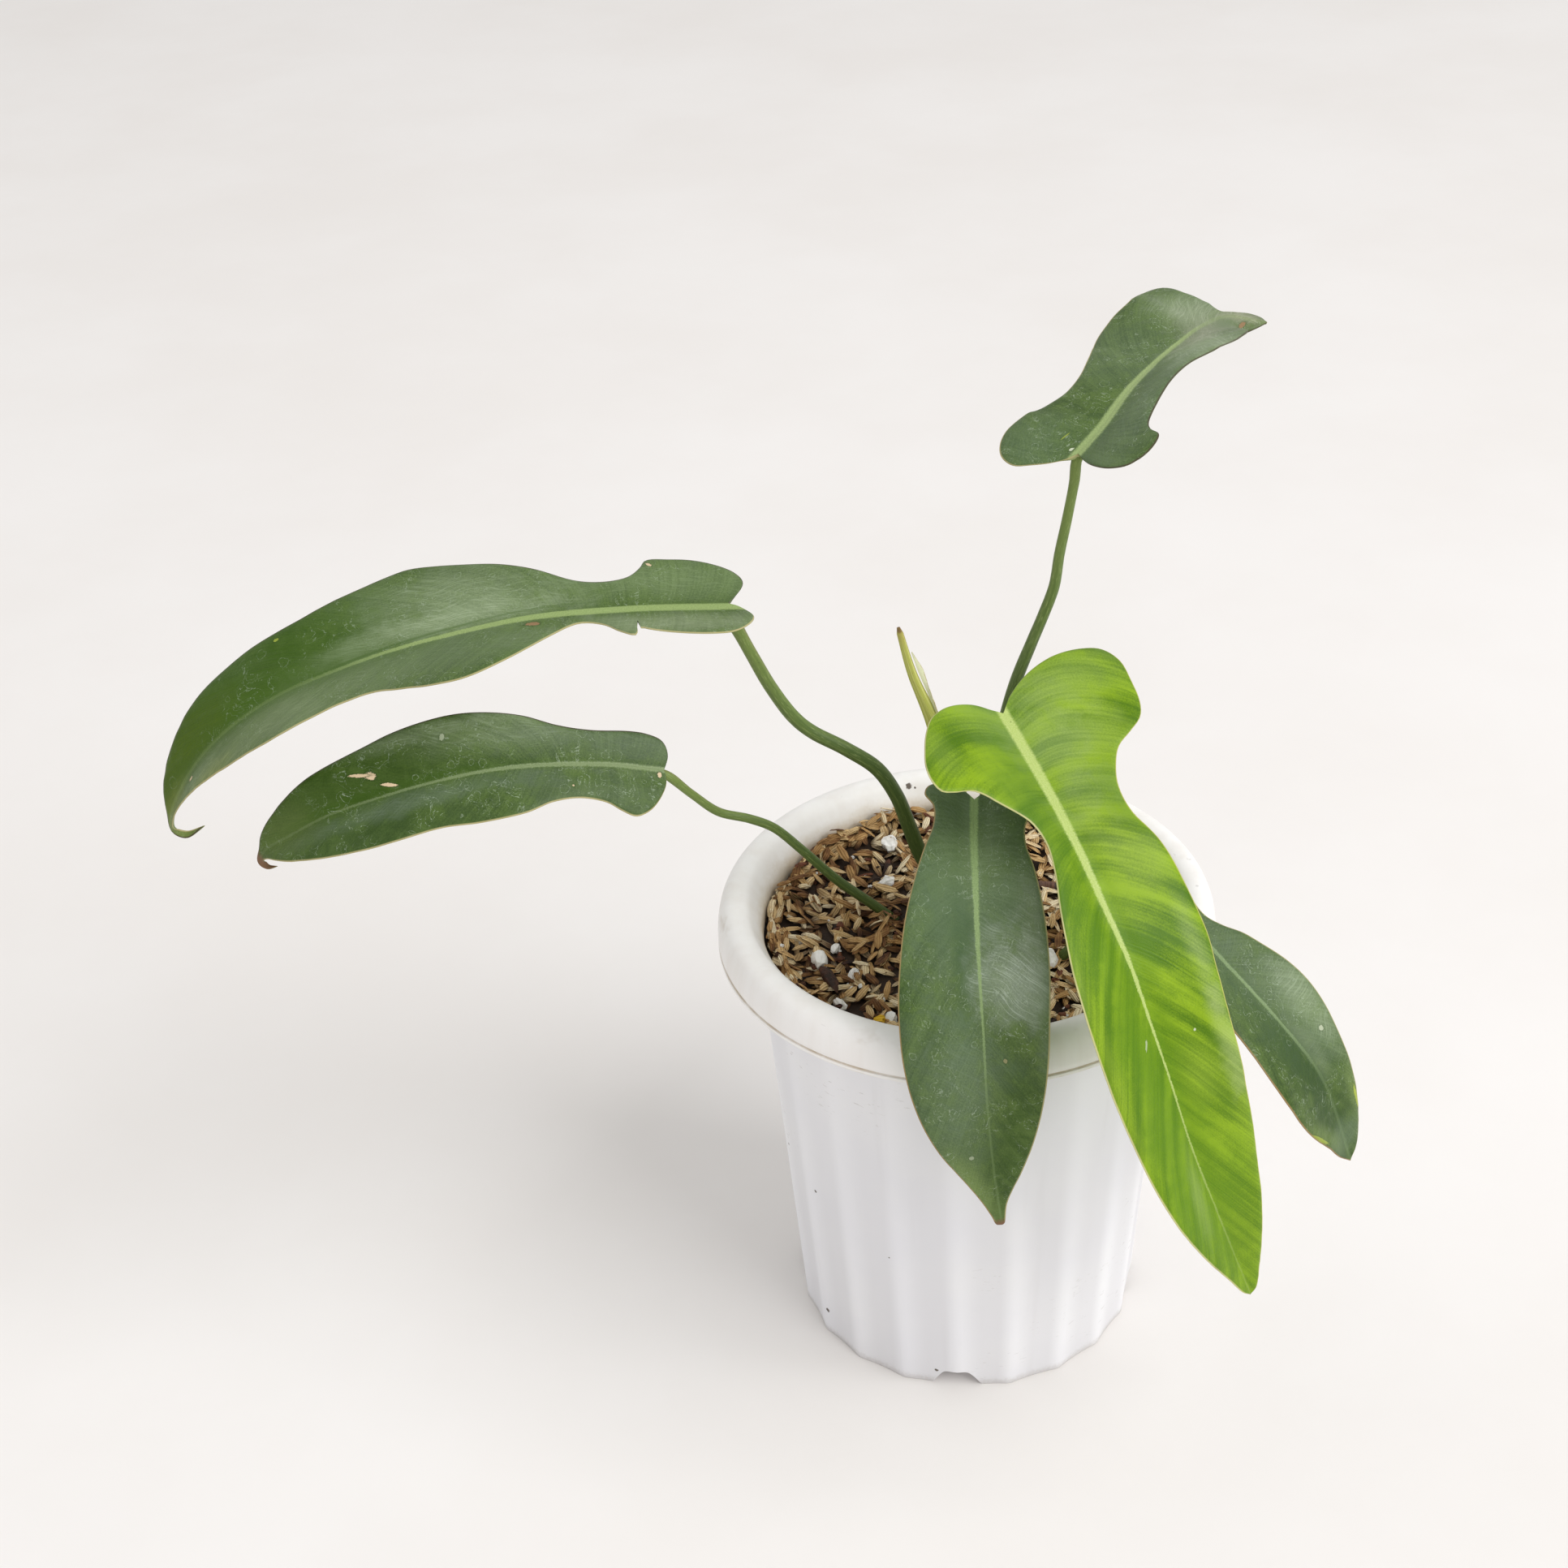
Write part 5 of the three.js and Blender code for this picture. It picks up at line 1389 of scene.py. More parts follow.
LOOKS = {
    "upper_left": {
        **DARK_LOOK, "rib_width": (2.4, 0.9, 150), "rib_fade": (100, 155), "rib_shift": -2.0,
        "brush": (6, -12),
        "patches": [(165, 10, 75, 22, -4, 0.9, DEEP), (88, 13, 36, 15, 12, 0.55, SHEEN),
                    (18, 12, 42, 10, 0, 0.75, tone(120, 139, 98)),
                    (20, -14, 44, 9, 0, 0.85, tone(138, 152, 116)),
                    (105, -13, 70, 16, 2, 0.6, GREY_SHEEN), (168, -14, 50, 14, 0, 0.7, tone(126, 141, 102)),
                    # the thin dark oval 1.9 out paints shade in the fold just above the midrib
                    (100, 6, 42, 5, 0, 0.55, SHEEN), (108, 1.9, 56, 0.6, -1, 0.7, DEEP),
                    (208, -7, 20, 7, -6, 0.4, SHEEN), (212, -13, 26, 6, 0, 0.6, tone(150, 158, 80)),
                    (172, 3, 50, 6, 0, 0.7, tone(60, 92, 0)), (226, -1, 16, 5, 0, 0.6, tone(150, 158, 84)),
                    (204, 8, 36, 10, 0, 0.5, tone(84, 104, 0))],
        "marks": [(66, -6.5, 2.4, 1.3, 10, 0.9, BROWN), (26, 18.5, 1.2, 0.5, 40, 0.8, TAN),
                  (203, -3, 1.2, 0.5, 0, 0.9, TAN), (153, 20, 0.8, 0.5, 0, 0.6, YELLOW)],
        "tip": 300,
    },
    "lower_left": {
        **DARK_LOOK, "rib_width": (1.2, 0.6, 110), "rib_fade": (50, 150), "rib_shift": 0.0,
        "rib": tone(140, 156, 114), "water": 0.55,
        "patches": [(115, 5, 50, 14, -6, 0.75, tone(54, 80, 8)), (118, -14, 56, 8, 0, 0.6, tone(56, 78, 36)),
                    (54, 14, 28, 7, 0, 0.4, SHEEN), (86, 18, 24, 4, 0, 0.4, SHEEN),
                    (80, -5, 54, 4, 0, 0.7, tone(108, 124, 102)), (18, -10, 50, 8, 0, 0.5, tone(98, 114, 86)),
                    # the thin dark oval 2.2 out paints shade in the fold just above the midrib
                    (10, 10, 40, 7, 0, 0.5, tone(112, 128, 104)), (100, 2.2, 46, 1.6, 0, 0.6, DEEP),
                    (46, 19, 26, 3, 0, 0.5, SHEEN), (140, 2, 18, 12, 0, 0.5, tone(104, 120, 66))],
        "marks": [(100.4, 8.2, 1.8, 1.3, 30, 1.0, TAN), (104.2, 9.6, 3.4, 0.6, 16, 1.0, TAN),
                  (94.5, 3.2, 2.8, 0.6, 20, 1.0, TAN), (1.6, -2, 0.8, 1.0, 0, 0.9, TAN),
                  (32.5, -8.2, 0.4, 0.4, 0, 0.8, TAN), (74, 14.5, 0.8, 1.2, 20, 0.5, PALE)],
        "tip": 147,
    },
    "top": {
        **DARK_LOOK, "rib_width": (2.4, 1.2, 95), "rib_fade": (68, 104), "rib_shift": 0.0, "water": 0.5,
        "brush": (-38, -52), "rib": tone(164, 184, 122),
        "patches": [(20, 14, 50, 14, 0, 0.5, HAZY_SHEEN), (-4, -14, 20, 16, 0, 0.5, HAZY_SHEEN),
                    (60, -12, 30, 18, 0, 0.28, HAZY_SHEEN), (66, 17, 18, 16, 0, 0.85, SHEEN),
                    (80, 6, 17, 7, 0, 0.6, tone(170, 172, 150)),
                    (96, 4, 16, 18, 0, 0.75, tone(148, 154, 130)), (98, -12, 14, 12, 30, 0.5, SHEEN),
                    (112, -1, 8, 5, 0, 0.8, tone(168, 166, 146)),
                    (98, 6, 12, 4, -20, 0.7, tone(94, 116, 72))],
        "marks": [(0.6, -3.4, 1.0, 0.6, 20, 0.9, PALE), (4, -8.6, 2.0, 0.25, 10, 0.5, YELLOW),
                  (111, 4, 2.2, 0.8, -50, 0.8, BROWN)],
        "tip": 300,
    },
    "lime": {
        "dark": tone(72, 110, 0), "light": tone(136, 168, 24), "rib": tone(194, 209, 132),
        "bands": 0.8, "lines": 0.5, "cloud": 0.25, "grain": 0.8, "water": 0.0, "calm": (150, 205),
        "brush": (50, -40), "scratched": 0.0, "margin": (tone(188, 184, 104), tone(208, 200, 146)),
        "rib_width": (2.5, 0.5, 150), "rib_fade": (110, 225), "rib_shift": 0.0,
        "patches": [(122, 8, 84, 14, 0, 0.85, tone(88, 129, 0)), (130, -4, 90, 5, 0, 0.4, tone(98, 136, 6)),
                    (160, 8, 34, 10, 0, 0.5, tone(88, 128, 0)), (130, 23, 50, 4, 0, 0.4, tone(152, 178, 44)),
                    (28, 9, 36, 14, 10, 0.75, tone(92, 128, 36)),
                    (206, -4, 30, 14, 0, 0.4, tone(106, 140, 22)),
                    (-6, -24, 14, 22, 0, 0.5, tone(160, 184, 92)),
                    (18, -26, 13, 12, 0, 0.6, tone(162, 188, 84)),
                    (141, -12, 12, 8, 0, 0.55, tone(158, 186, 56)),
                    (44, -22, 16, 9, 0, 0.8, tone(104, 136, 50)),
                    (176, 0, 32, 18, 0, 0.35, tone(92, 132, 8)), (14, 34, 12, 6, 0, 0.3, tone(158, 184, 84)),
                    (18, -10, 30, 14, 0, 0.5, tone(158, 178, 116)),
                    (0, 10, 14, 14, 0, 0.4, tone(140, 166, 92)),
                    (176, -22, 60, 5, 0, 0.3, tone(150, 178, 50)),
                    (136, -23, 22, 4, 0, 0.5, tone(186, 202, 136)),
                    (104, -24, 18, 4, 0, 0.4, tone(178, 196, 130)),
                    (182, 5, 18, 3.4, 8, 0.4, tone(170, 190, 110)),
                    (58, -12, 20, 9, -30, 0.35, tone(166, 188, 90))],
        "marks": [(127, -13.5, 0.5, 0.4, 0, 0.8, PALE), (124, 5, 2.0, 0.5, 30, 0.5, PALE)],
        "tip": 300,
    },
    "front": {
        **DARK_LOOK, "rib_width": (1.6, 0.5, 90), "rib_fade": (55, 120), "rib_shift": 0.0, "water": 0.5,
        "cloud": 0.9, "bands": 0.2, "scratched": 0.7, "brush": (-58, -36), "rib": tone(156, 180, 124),
        "margin": (tone(188, 176, 128), tone(170, 142, 96)),
        "patches": [(22, 0, 60, 34, 0, 0.85, HAZY_SHEEN), (112, 16, 44, 14, 0, 0.5, HAZY_SHEEN),
                    (50, 5.5, 30, 4, 0, 0.9, tone(64, 90, 52)), (46, -20, 34, 6, 0, 0.7, tone(126, 140, 112)),
                    (38, 13, 20, 8, 0, 0.5, tone(76, 100, 64)), (98, 6, 24, 11, 0, 0.4, tone(130, 150, 122)),
                    (64, -11, 15, 13, 20, 1.0, GLARE),
                    (142, 9, 18, 6, -24, 0.8, MOSS), (128, -9, 32, 10, 8, 0.4, DEEP),
                    (24, 0, 14, 12, 0, 0.4, tone(128, 148, 100)),
                    (82, -24, 24, 6, 0, 0.5, tone(114, 134, 100))],
        "marks": [(91, -7, 0.8, 0.6, 0, 0.7, tone(156, 150, 108)), (129, 7, 0.8, 0.8, 0, 0.4, PALE)],
        "tip": 158,
    },
    "right": {
        **DARK_LOOK, "rib_width": (1.1, 0.8, 100), "rib_fade": (60, 110), "rib_shift": 0.0, "water": 0.45,
        "margin": (tone(188, 176, 128), tone(160, 128, 88)),
        "brush": (62, -48), "rib": tone(140, 162, 118),
        "patches": [(68, -9, 40, 12, 0, 0.6, HAZY_SHEEN), (80, -14, 22, 8, 0, 0.5, SHEEN),
                    (94, -2.4, 14, 3.4, 0, 0.6, SHEEN), (100, 5, 42, 10, 0, 1.0, tone(34, 64, 12)),
                    (133, 0, 7, 12, 0, 0.6, HAZY_SHEEN), (40, 6, 50, 12, 0, 0.4, HAZY_SHEEN),
                    (119, -11, 12, 3, 4, 0.6, MOSS), (122, 12, 14, 4, -35, 0.5, MOSS)],
        "marks": [(122, -10.8, 5, 0.7, 4, 0.7, YELLOW), (121, 14, 7, 0.7, -35, 0.6, YELLOW),
                  (92, -11, 0.9, 0.8, 0, 0.6, PALE)],
        "tip": 300,
    },
}


def blade_finish(name, look, settings):
    f = Finish(f"leaf_skin_{name}")
    flat = f.attribute("flat", vector=True)
    u, v, _ = f.split(flat)
    vein, out, half = f.split(f.attribute("vein", vector=True))
    edge = f.attribute("edge")
    under = f.attribute("under")
    wander = f.speckle(flat, 0.05, detail=4, roughness=0.55)
    cloud = f.speckle(flat, 0.2, detail=5, roughness=0.7, distortion=0.6)
    shifted = vein + (wander - 0.5) * 7
    bands = f.speckle(f.vector(shifted * 0.12, out * 0.03, half * 9), 1.0, detail=1.2)
    fine = f.speckle(f.vector(vein * 1.1, out * 0.03, half * 5), 1.0, detail=1.5)
    grit = f.speckle(flat, 1.6, detail=4, roughness=0.8)
    calm = f.between(u, *look["calm"], 1.0, 0.35)
    share = ((bands - 0.5) * calm * (look["bands"] * 2) + (fine - 0.5) * look["lines"] + (wander - 0.5) * 0.4
             + (cloud - 0.5) * look["cloud"] + (grit - 0.5) * look["grain"] + 0.5)
    colour = f.mix(f.between(share, 0.15, 0.85), look["dark"], look["light"])
    bent = f.shaken(flat, 0.05, 1.0, 11)
    first, second = (f.scratches(bent, 9, 0.5, turn) for turn in look["brush"])
    brushed = f.most(first, second * 0.25) * look["scratched"]
    broken = f.between(brushed * 0.4 + grit * 0.7 + (fine - 0.5) * 0.5, 0.1, 0.75, 0.5, 1.0)
    strokes = f.between(brushed * 0.6 + grit * 0.7, 0.15, 0.95, 0.3, 1.0)
    sheen_film = 0.0
    for along, across, length, width, turn, strength, tint in look["patches"]:
        reach = f.spot(flat, (along, across), (length, width), turn)
        reach = reach + (wander - 0.5) * 1.4 + (cloud - 0.5) * 0.8
        patch = f.between(reach, 1.5, 0.1) * (strokes if tint == GLARE else broken) * strength
        colour = f.mix(patch, colour, tint)
        # the sheen and glare patches are painted sheen, partly a dusty film; they also give the skin a glossy
        # coat
        if tint in (SHEEN, GLARE):
            sheen_film = patch + sheen_film
    if look["water"]:
        # dried water leaves thin wandering lines and rings, and dust small pale specks
        drops = f.speckle(flat, 0.15, detail=2.0, roughness=0.6, distortion=1.6)
        line = f.between(abs(drops - 0.56), 0.016, 0.002) * f.between(wander, 0.45, 0.58)
        dust = f.between(grit, 0.68, 0.76) * f.between(wander, 0.42, 0.55)
        marks = f.most(line, f.rings(flat, 6.5) * 0.6) * f.between(grit, 0.42, 0.56, 0.1, 1.0)
        marks = marks + dust * 0.5 + brushed * sheen_film * 0.3
        colour = f.mix(marks * look["water"], colour, tone(176, 190, 168))
    wide, narrow, reach = look["rib_width"]
    rib_half = f.between(u, 0, reach, wide, narrow)
    off_rib = abs(v - f.between(u, 40, 150, look["rib_shift"], 0.0))
    off_rib = off_rib + (grit - 0.5) * 1.8 + (cloud - 0.5) * 0.9
    rib = f.between(off_rib, rib_half * 1.2, rib_half * 0.6)
    rib = rib * f.between(u, *look["rib_fade"], 1.0, 0.2) * (1 - under)
    rib_tint = f.mix(f.between(grit, 0.35, 0.65) * 0.4, look["rib"], look["light"])
    colour = f.mix(rib * 0.9, colour, rib_tint)
    for along, across, length, width, turn, strength, stain in look["marks"]:
        reach = f.spot(flat, (along, across), (length, width), turn)
        reach = reach + (grit - 0.5) * 1.6 + (cloud - 0.5) * 1.2
        colour = f.mix(f.between(reach, 1.7, 1.1) * strength * 0.6, colour, look["dark"])
        colour = f.mix(f.between(reach, 1.1, 0.9) * strength, colour, stain)
    left, right = look["margin"]
    rim = f.between(edge + (grit - 0.5) * 0.2, 0.6, 0.2)
    colour = f.mix(rim * 0.8, colour, f.mix(half, left, right))
    burnt = f.between(u + (grit - 0.5) * 5, look["tip"], look["tip"] + 3)
    colour = f.mix(burnt, colour, tone(122, 92, 66))
    lower = f.mix(f.between(fine * 0.6 + grit * 0.4, 0.3, 0.7), settings.underside, look["light"])
    lower_rib = f.between(abs(v), 2.4, 1.2) * f.between(u, *look["rib_fade"], 1.0, 0.3)
    lower = f.mix(lower_rib * 0.7, lower, look["rib"])
    colour = f.mix(under * 0.8, colour, lower)
    roughness = sheen_film * 0.15 + under * 0.15 + (grit - 0.5) * 0.15 + 0.38
    relief = f.bump(fine * 0.5 + grit * 0.4 + rib * 0.2, 0.00022)
    return f.surface(Base_Color=colour, Roughness=roughness, Normal=relief, Specular_IOR_Level=0.2,
                     Coat_Weight=sheen_film * 0.3 * (1 - under), Coat_Roughness=0.35)


def vein_place(u, v, length):
    """Where on the midrib the side vein starts that runs through u, v.

    Near the base the veins fan back into the lobes, and towards the tip they sweep forward.
    """
    out = np.abs(v)
    sweep = VEIN_SWEEP + VEIN_SWEEP_RIGHT * (v > 0) * step_between(u * VEIN_LEAF / length, 20, 110)
    return (u + out * (VEIN_SLANT - sweep * out)) / (1 + sweep * out * VEIN_LEAF / length)


def open_tear(piece, leaf):
    """Opens a slit from the edge, along the strip of faces that ends at the tear's mouth."""
    mouth, depth, gape = leaf["tear"]
    mesh = piece.data
    flat, row, edge = (read_attribute(mesh, name) for name in ("flat", "row", "edge"))
    u, v = flat[:, 0], flat[:, 1]
    same_side = np.sign(v) == np.sign(mouth[1])
    on_edge = edge < 0.01
    away = np.where(on_edge, np.hypot(u - mouth[0], v - mouth[1]), np.inf)
    first = row[np.argmin(away)]
    beside = row - first - 0.5
    inner = abs(mouth[1]) - depth
    deep = same_side & (np.abs(v) > inner)
    faces = in_edit_mode(piece, "FACE").faces
    for face in faces:
        corners = [corner.index for corner in face.verts]
        face.select = bool(np.all(deep[corners]) and np.all(np.abs(beside[corners]) < 1))
    bmesh.update_edit_mesh(mesh)
    bpy.ops.mesh.delete(type="FACE")
    bpy.ops.object.mode_set(mode="OBJECT")
    opening = gape * step_between(np.abs(v), inner, abs(mouth[1])) - TEAR_STRIP
    shift = np.sign(beside) * opening / 2 * np.exp(-np.maximum(np.abs(beside) - 0.5, 0) / 4) * deep
    flat[:, 0] = u + shift
    keep_attribute(mesh, "flat", flat)


def lay_out(piece, form, settings):
    """Gives a grid of rows and columns the leaf's flat outline and bends it over the midrib."""
    rows, columns = settings.rows, settings.columns
    mesh = piece.data
    grid = points_of(mesh) * MM
    row = np.rint((grid[:, 0] + 1) / 2 * rows).astype(int)
    column = np.rint(grid[:, 1] * columns).astype(int)
    left, right, middle = form.rows(rows)
    rim = np.where((column < 0)[:, None], left[row], right[row])
    reach = np.hypot(rim[:, 0] - middle[row], rim[:, 1])
    inner = 1 - np.minimum(EDGE_SHARE, EDGE_COLUMN / np.maximum(reach, 1e-6))
    share = (np.abs(column) / (columns - 1)) ** COLUMN_GATHER * inner
    share = np.where(np.abs(column) == columns, 1, share)
    u = middle[row] + (rim[:, 0] - middle[row]) * share
    v = rim[:, 1] * share
    keep_attribute(mesh, "flat", np.stack([u, v, np.zeros_like(u)], -1))
    keep_attribute(mesh, "edge", (1 - share) * reach)
    keep_attribute(mesh, "row", row)
    place_points(mesh, form.bend(u, v))
    weld()
    if "tear" in form.leaf:
        open_tear(piece, form.leaf)
        u, v = read_attribute(mesh, "flat")[:, :2].T
        place_points(mesh, form.bend(u, v))


def blade_relief(form, u, v, edge, vein, under, settings):
    """Height of a blade's two sides off the middle: rib, furrows, quilting and a turned edge."""
    along = np.clip(u / form.length, 0, 1)
    out = np.abs(v)
    rib_half = RIB_HALF - RIB_LOSS * along
    rib = np.exp(-((v / rib_half) ** 2)) * (1 - RIB_SINKS * along)
    furrow = np.exp(-(((out - FURROW_PLACE * rib_half) / rib_half) ** 2)) * (1 - along)
    thick = settings.thickness / MM / 2 * np.sqrt(np.clip(edge / EDGE_ROUNDING, 0.05, 1))
    above = thick + RIB_ABOVE * rib - FURROW * furrow
    below = thick + RIB_BELOW * rib
    quilt = settings.quilting / MM * drift(vein * 0.16, out * 0.02, np.sign(v) * 7)
    sway = SWAY * drift(u * 0.03, v * 0.05, 4.0) * step_between(out, 2, 20)
    roll = -EDGE_ROLL * np.exp(-edge / 1.4) * step_between(out, 1, 5)
    return np.where(under, -below, above) + (quilt + roll) * step_between(out, 1.5, 8) + sway


def build_blade(name, settings):
    form = LeafForm(LEAVES[name])
    begin()
    bpy.ops.mesh.primitive_grid_add(
        x_subdivisions=settings.rows, y_subdivisions=2 * settings.columns, size=2)
    piece = named(f"{name}_leaf_blade")
    mesh = piece.data
    lay_out(piece, form, settings)
    upper_count = len(mesh.vertices)
    apply_modifier(piece, "SOLIDIFY", thickness=settings.thickness, offset=0, use_quality_normals=False)
    u, v = read_attribute(mesh, "flat")[:, :2].T
    edge = read_attribute(mesh, "edge")
    vein = vein_place(u, v, form.length)
    under = np.arange(len(mesh.vertices)) >= upper_count
    keep_attribute(mesh, "vein", np.stack([vein, np.abs(v), (v > 0).astype(float)], -1))
    keep_attribute(mesh, "under", under.astype(float))
    offset = blade_relief(form, u, v, edge, vein, under, settings)
    place_points(mesh, form.bend(u, v) + form.normal(u, v) * offset[:, None])
    smooth(piece, 55)
    slot = "lime_leaf" if name == "lime" else "dark_leaf"
    hand_over(piece, slot, blade_finish(name, LOOKS[name], settings), f"blade_{name}")


# Stage

CAMERA_PLACE = (0, -772.8, 729.8)
CAMERA_TARGET = (-63.65, 0, 230.2)
CAMERA_ROLL = -2.753
CAMERA_LENS = 60.0
CAMERA_SENSOR = 36
CAMERA_REACH = 40  # in metres
FLOOR_SIZE = 24  # in metres
# Lights, in metres
KEY_PLACE, KEY_SIZE = (2.4, -1.4, 3.0), 3.0
FILL_PLACE, FILL_SIZE = (-1.6, 0.6, 2.2), 2.0
LIGHT_TARGET = (0, 0, 0.2)


def build_stage(settings):
    begin()
    bpy.ops.mesh.primitive_plane_add(size=FLOOR_SIZE)
    floor = named("floor")
    f = Finish("plain_floor")
    mottle = f.speckle(f.place(), 3.0, detail=5, roughness=0.6)
    colour = f.mix(f.between(mottle, 0.3, 0.7), settings.floor_colour, tone(234, 230, 227))
    floor.data.materials.append(f.surface(Base_Color=colour, Roughness=0.9))

    world = bpy.data.worlds.new("studio")
    bpy.context.scene.world = world
    world.use_nodes = True
    sky = world.node_tree.nodes["Background"]
    sky.inputs["Color"].default_value = (*settings.sky_colour, 1)
    sky.inputs["Strength"].default_value = settings.sky_strength

    for place, size, power in (
        (KEY_PLACE, KEY_SIZE, settings.key_power), (FILL_PLACE, FILL_SIZE, settings.fill_power),
    ):
        aim = (Vector(LIGHT_TARGET) - Vector(place)).to_track_quat("-Z", "Y").to_euler()
        bpy.ops.object.light_add(type="AREA", location=place, rotation=aim)
        light = bpy.context.active_object.data
        light.size = size
        light.energy = power

    place, target = Vector(CAMERA_PLACE) * MM, Vector(CAMERA_TARGET) * MM
    ahead = (target - place).normalized()
    right = ahead.cross(Vector((0, 0, 1))).normalized()
    up = right.cross(ahead)
    roll = math.radians(CAMERA_ROLL)
    turned_right = right * math.cos(roll) + up * math.sin(roll)
    turned_up = up * math.cos(roll) - right * math.sin(roll)
    bpy.ops.object.camera_add(location=place)
    camera = bpy.context.active_object
    facing = Matrix((turned_right, turned_up, -ahead)).transposed().to_4x4()
    camera.matrix_world = Matrix.Translation(place) @ facing
    camera.data.lens = CAMERA_LENS
    camera.data.sensor_width = CAMERA_SENSOR
    camera.data.clip_end = CAMERA_REACH
    bpy.context.scene.camera = camera
    bpy.context.scene.view_settings.view_transform = "Standard"


# Settings


def colour_setting(name, description, default):
    return bpy.props.FloatVectorProperty(
        name=name, description=description, default=default, subtype="COLOR", size=3, min=0, max=1)


def count_setting(name, description, default, least=0):
    return bpy.props.IntProperty(name=name, description=description, default=default, min=least)


def length_setting(name, description, default):
    return bpy.props.FloatProperty(name=name, description=description, default=default * MM, unit="LENGTH")


class PotSettings(bpy.types.PropertyGroup):
    sides: count_setting("Sides", "Points round the pot, a multiple of the flutes", 240, 40)
    body_colour: colour_setting("Body", "Plastic of the fluted body", tone(237, 237, 242))
    collar_colour: colour_setting("Collar", "Plastic of the collar, slightly yellowed", tone(248, 246, 244))


class MediumSettings(bpy.types.PropertyGroup):
    seed: count_setting("Seed", "Draw that places the grains", 11)
    husk_count: count_setting("Husks", "How many husks lie on top", 2100)
    husk_length: length_setting("Husk length", "Length of a usual husk", 9.6)
    husk_width: length_setting("Husk width", "Width of a usual husk", 2.9)


class StemSettings(bpy.types.PropertyGroup):
    sides: count_setting("Sides", "Points round the stem", 36, 8)
    bark: colour_setting("Bark", "Brown skin at the foot of the stem", tone(122, 94, 62))
    green: colour_setting("Green", "Skin at the top of the stem", tone(116, 134, 70))


class AerialRootSettings(bpy.types.PropertyGroup):
    sides: count_setting("Sides", "Points round the root", 18, 8)
    skin: colour_setting("Skin", "Wrinkled skin of the root", tone(112, 78, 62))


class SheathSettings(bpy.types.PropertyGroup):
    sides: count_setting("Sides", "Points round the sheath", 40, 8)
    light_green: colour_setting("Light streak", "Lighter streaks of the sheath", tone(208, 208, 126))
    dark_green: colour_setting("Skin", "Main green of the sheath", tone(166, 172, 72))
    membrane: colour_setting("Thin edge", "The dry edge on the right side", tone(222, 224, 186))


class StalkSettings(bpy.types.PropertyGroup):
    sides: count_setting("Sides", "Points round a stalk", 20, 8)
    light_green: colour_setting("Light streak", "Lighter streaks along a stalk", tone(106, 125, 66))
    dark_green: colour_setting("Skin", "Main green of a stalk", tone(68, 89, 46))


class BladeSettings(bpy.types.PropertyGroup):
    rows: count_setting("Rows", "Rows from notch to tip", 200, 40)
    columns: count_setting("Columns", "Columns on each half", 24, 6)
    thickness: length_setting("Thickness", "Thickness between the ribs", 0.8)
    quilting: length_setting("Quilting", "Swell between the side veins", 0.22)
    underside: colour_setting("Underside", "Paler green of the underside", tone(128, 146, 98))


class StageSettings(bpy.types.PropertyGroup):
    floor_colour: colour_setting("Floor", "Plain pale floor", tone(238, 235, 233))
    sky_colour: colour_setting("Light", "Colour of the light from all round", (1.0, 0.995, 0.985))
    sky_strength: bpy.props.FloatProperty(
        name="Light all round", description="Strength of the light from all round", default=0.66, min=0)
    key_power: bpy.props.FloatProperty(
        name="Key light", description="Broad soft light from the front right", default=117, unit="POWER")
    fill_power: bpy.props.FloatProperty(
        name="Fill light", description="Weak soft light from the back left", default=6, unit="POWER")


# Operators


class PLANT_OT_pot(bpy.types.Operator):
    """Add the fluted pot with its collar, drain holes and foot openings"""

    bl_idname = "plant.pot"
    bl_label = "Pot"

    def execute(self, context):
        build_pot(context.scene.plant_pot)
        return {"FINISHED"}


class PLANT_OT_medium(bpy.types.Operator):
    """Fill the pot with the bed and strew husks, bark and white grains on it"""

    bl_idname = "plant.medium"
    bl_label = "Growing Medium"

    def execute(self, context):
        build_medium(context.scene.plant_medium)
        return {"FINISHED"}


class PLANT_OT_stem(bpy.types.Operator):
    """Add the short stem"""

    bl_idname = "plant.stem"
    bl_label = "Stem"

    def execute(self, context):
        build_stem(context.scene.plant_stem)
        return {"FINISHED"}


class PLANT_OT_aerial_root(bpy.types.Operator):
    """Add the dry root that lies on the filling"""

    bl_idname = "plant.aerial_root"
    bl_label = "Aerial Root"

    def execute(self, context):
        build_aerial_root(context.scene.plant_aerial_root)
        return {"FINISHED"}


class PLANT_OT_sheath(bpy.types.Operator):
    """Add the pointed sheath with its thin torn edge"""

    bl_idname = "plant.sheath"
    bl_label = "Sheath"

    def execute(self, context):
        build_sheath(context.scene.plant_sheath)
        return {"FINISHED"}


class PLANT_OT_stalks(bpy.types.Operator):
    """Add the six leaf stalks"""

    bl_idname = "plant.stalks"
    bl_label = "Leaf Stalks"

    def execute(self, context):
        for name in LEAVES:
            build_stalk(name, context.scene.plant_stalks)
        return {"FINISHED"}


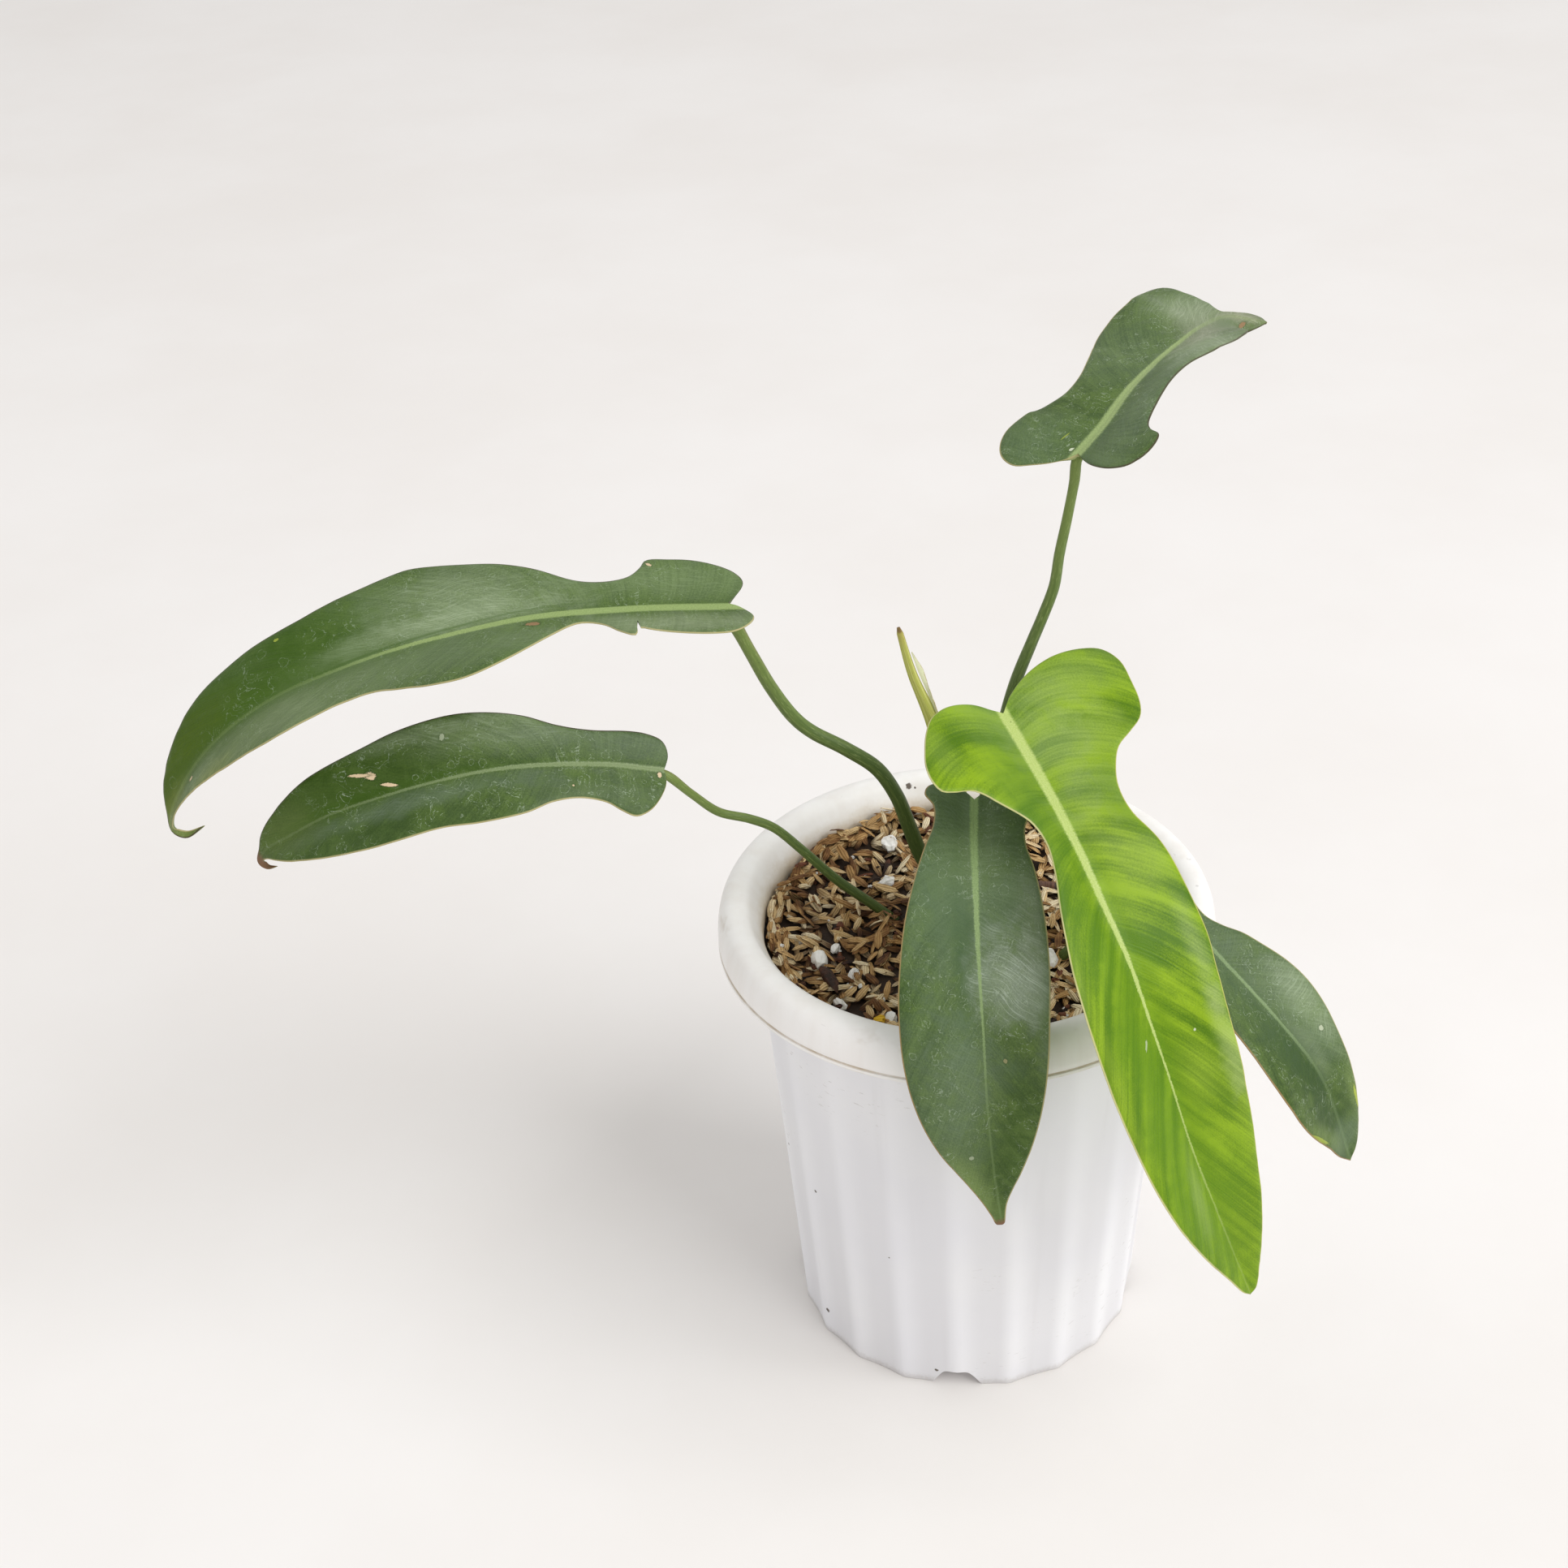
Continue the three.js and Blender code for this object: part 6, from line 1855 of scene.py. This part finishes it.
class PLANT_OT_blades(bpy.types.Operator):
    """Add the six leaf blades"""

    bl_idname = "plant.blades"
    bl_label = "Leaf Blades"

    def execute(self, context):
        for name in LEAVES:
            build_blade(name, context.scene.plant_blades)
        return {"FINISHED"}


class PLANT_OT_stage(bpy.types.Operator):
    """Add the plain floor, the soft lights and the camera"""

    bl_idname = "plant.stage"
    bl_label = "Stage"

    def execute(self, context):
        build_stage(context.scene.plant_stage)
        return {"FINISHED"}


class PLANT_PT_panel(bpy.types.Panel):
    """Buttons for every piece, with the sizes and colours that they use"""

    bl_label = "Potted Philodendron"
    bl_space_type = "VIEW_3D"
    bl_region_type = "UI"
    bl_category = "Plant"

    def draw(self, context):
        for operator, name, settings in PANEL_ROWS:
            box = self.layout.box()
            box.operator(operator.bl_idname)
            for setting in settings.__annotations__:
                box.prop(getattr(context.scene, name), setting)


# Each operator with the settings that it uses, in the order of building
PANEL_ROWS = [
    (PLANT_OT_stage, "plant_stage", StageSettings),
    (PLANT_OT_pot, "plant_pot", PotSettings),
    (PLANT_OT_medium, "plant_medium", MediumSettings),
    (PLANT_OT_stem, "plant_stem", StemSettings),
    (PLANT_OT_aerial_root, "plant_aerial_root", AerialRootSettings),
    (PLANT_OT_sheath, "plant_sheath", SheathSettings),
    (PLANT_OT_stalks, "plant_stalks", StalkSettings),
    (PLANT_OT_blades, "plant_blades", BladeSettings),
]


def register():
    for operator, name, settings in PANEL_ROWS:
        bpy.utils.register_class(settings)
        bpy.utils.register_class(operator)
        setattr(bpy.types.Scene, name, bpy.props.PointerProperty(type=settings))
    bpy.utils.register_class(PLANT_PT_panel)


def unregister():
    bpy.utils.unregister_class(PLANT_PT_panel)
    for operator, name, settings in reversed(PANEL_ROWS):
        delattr(bpy.types.Scene, name)
        bpy.utils.unregister_class(operator)
        bpy.utils.unregister_class(settings)


def main():
    register()
    bpy.ops.plant.stage()
    bpy.ops.plant.pot()
    bpy.ops.plant.medium()
    bpy.ops.plant.stem()
    bpy.ops.plant.aerial_root()
    bpy.ops.plant.sheath()
    bpy.ops.plant.stalks()
    bpy.ops.plant.blades()
    begin()


if __name__ == "__main__":
    main()
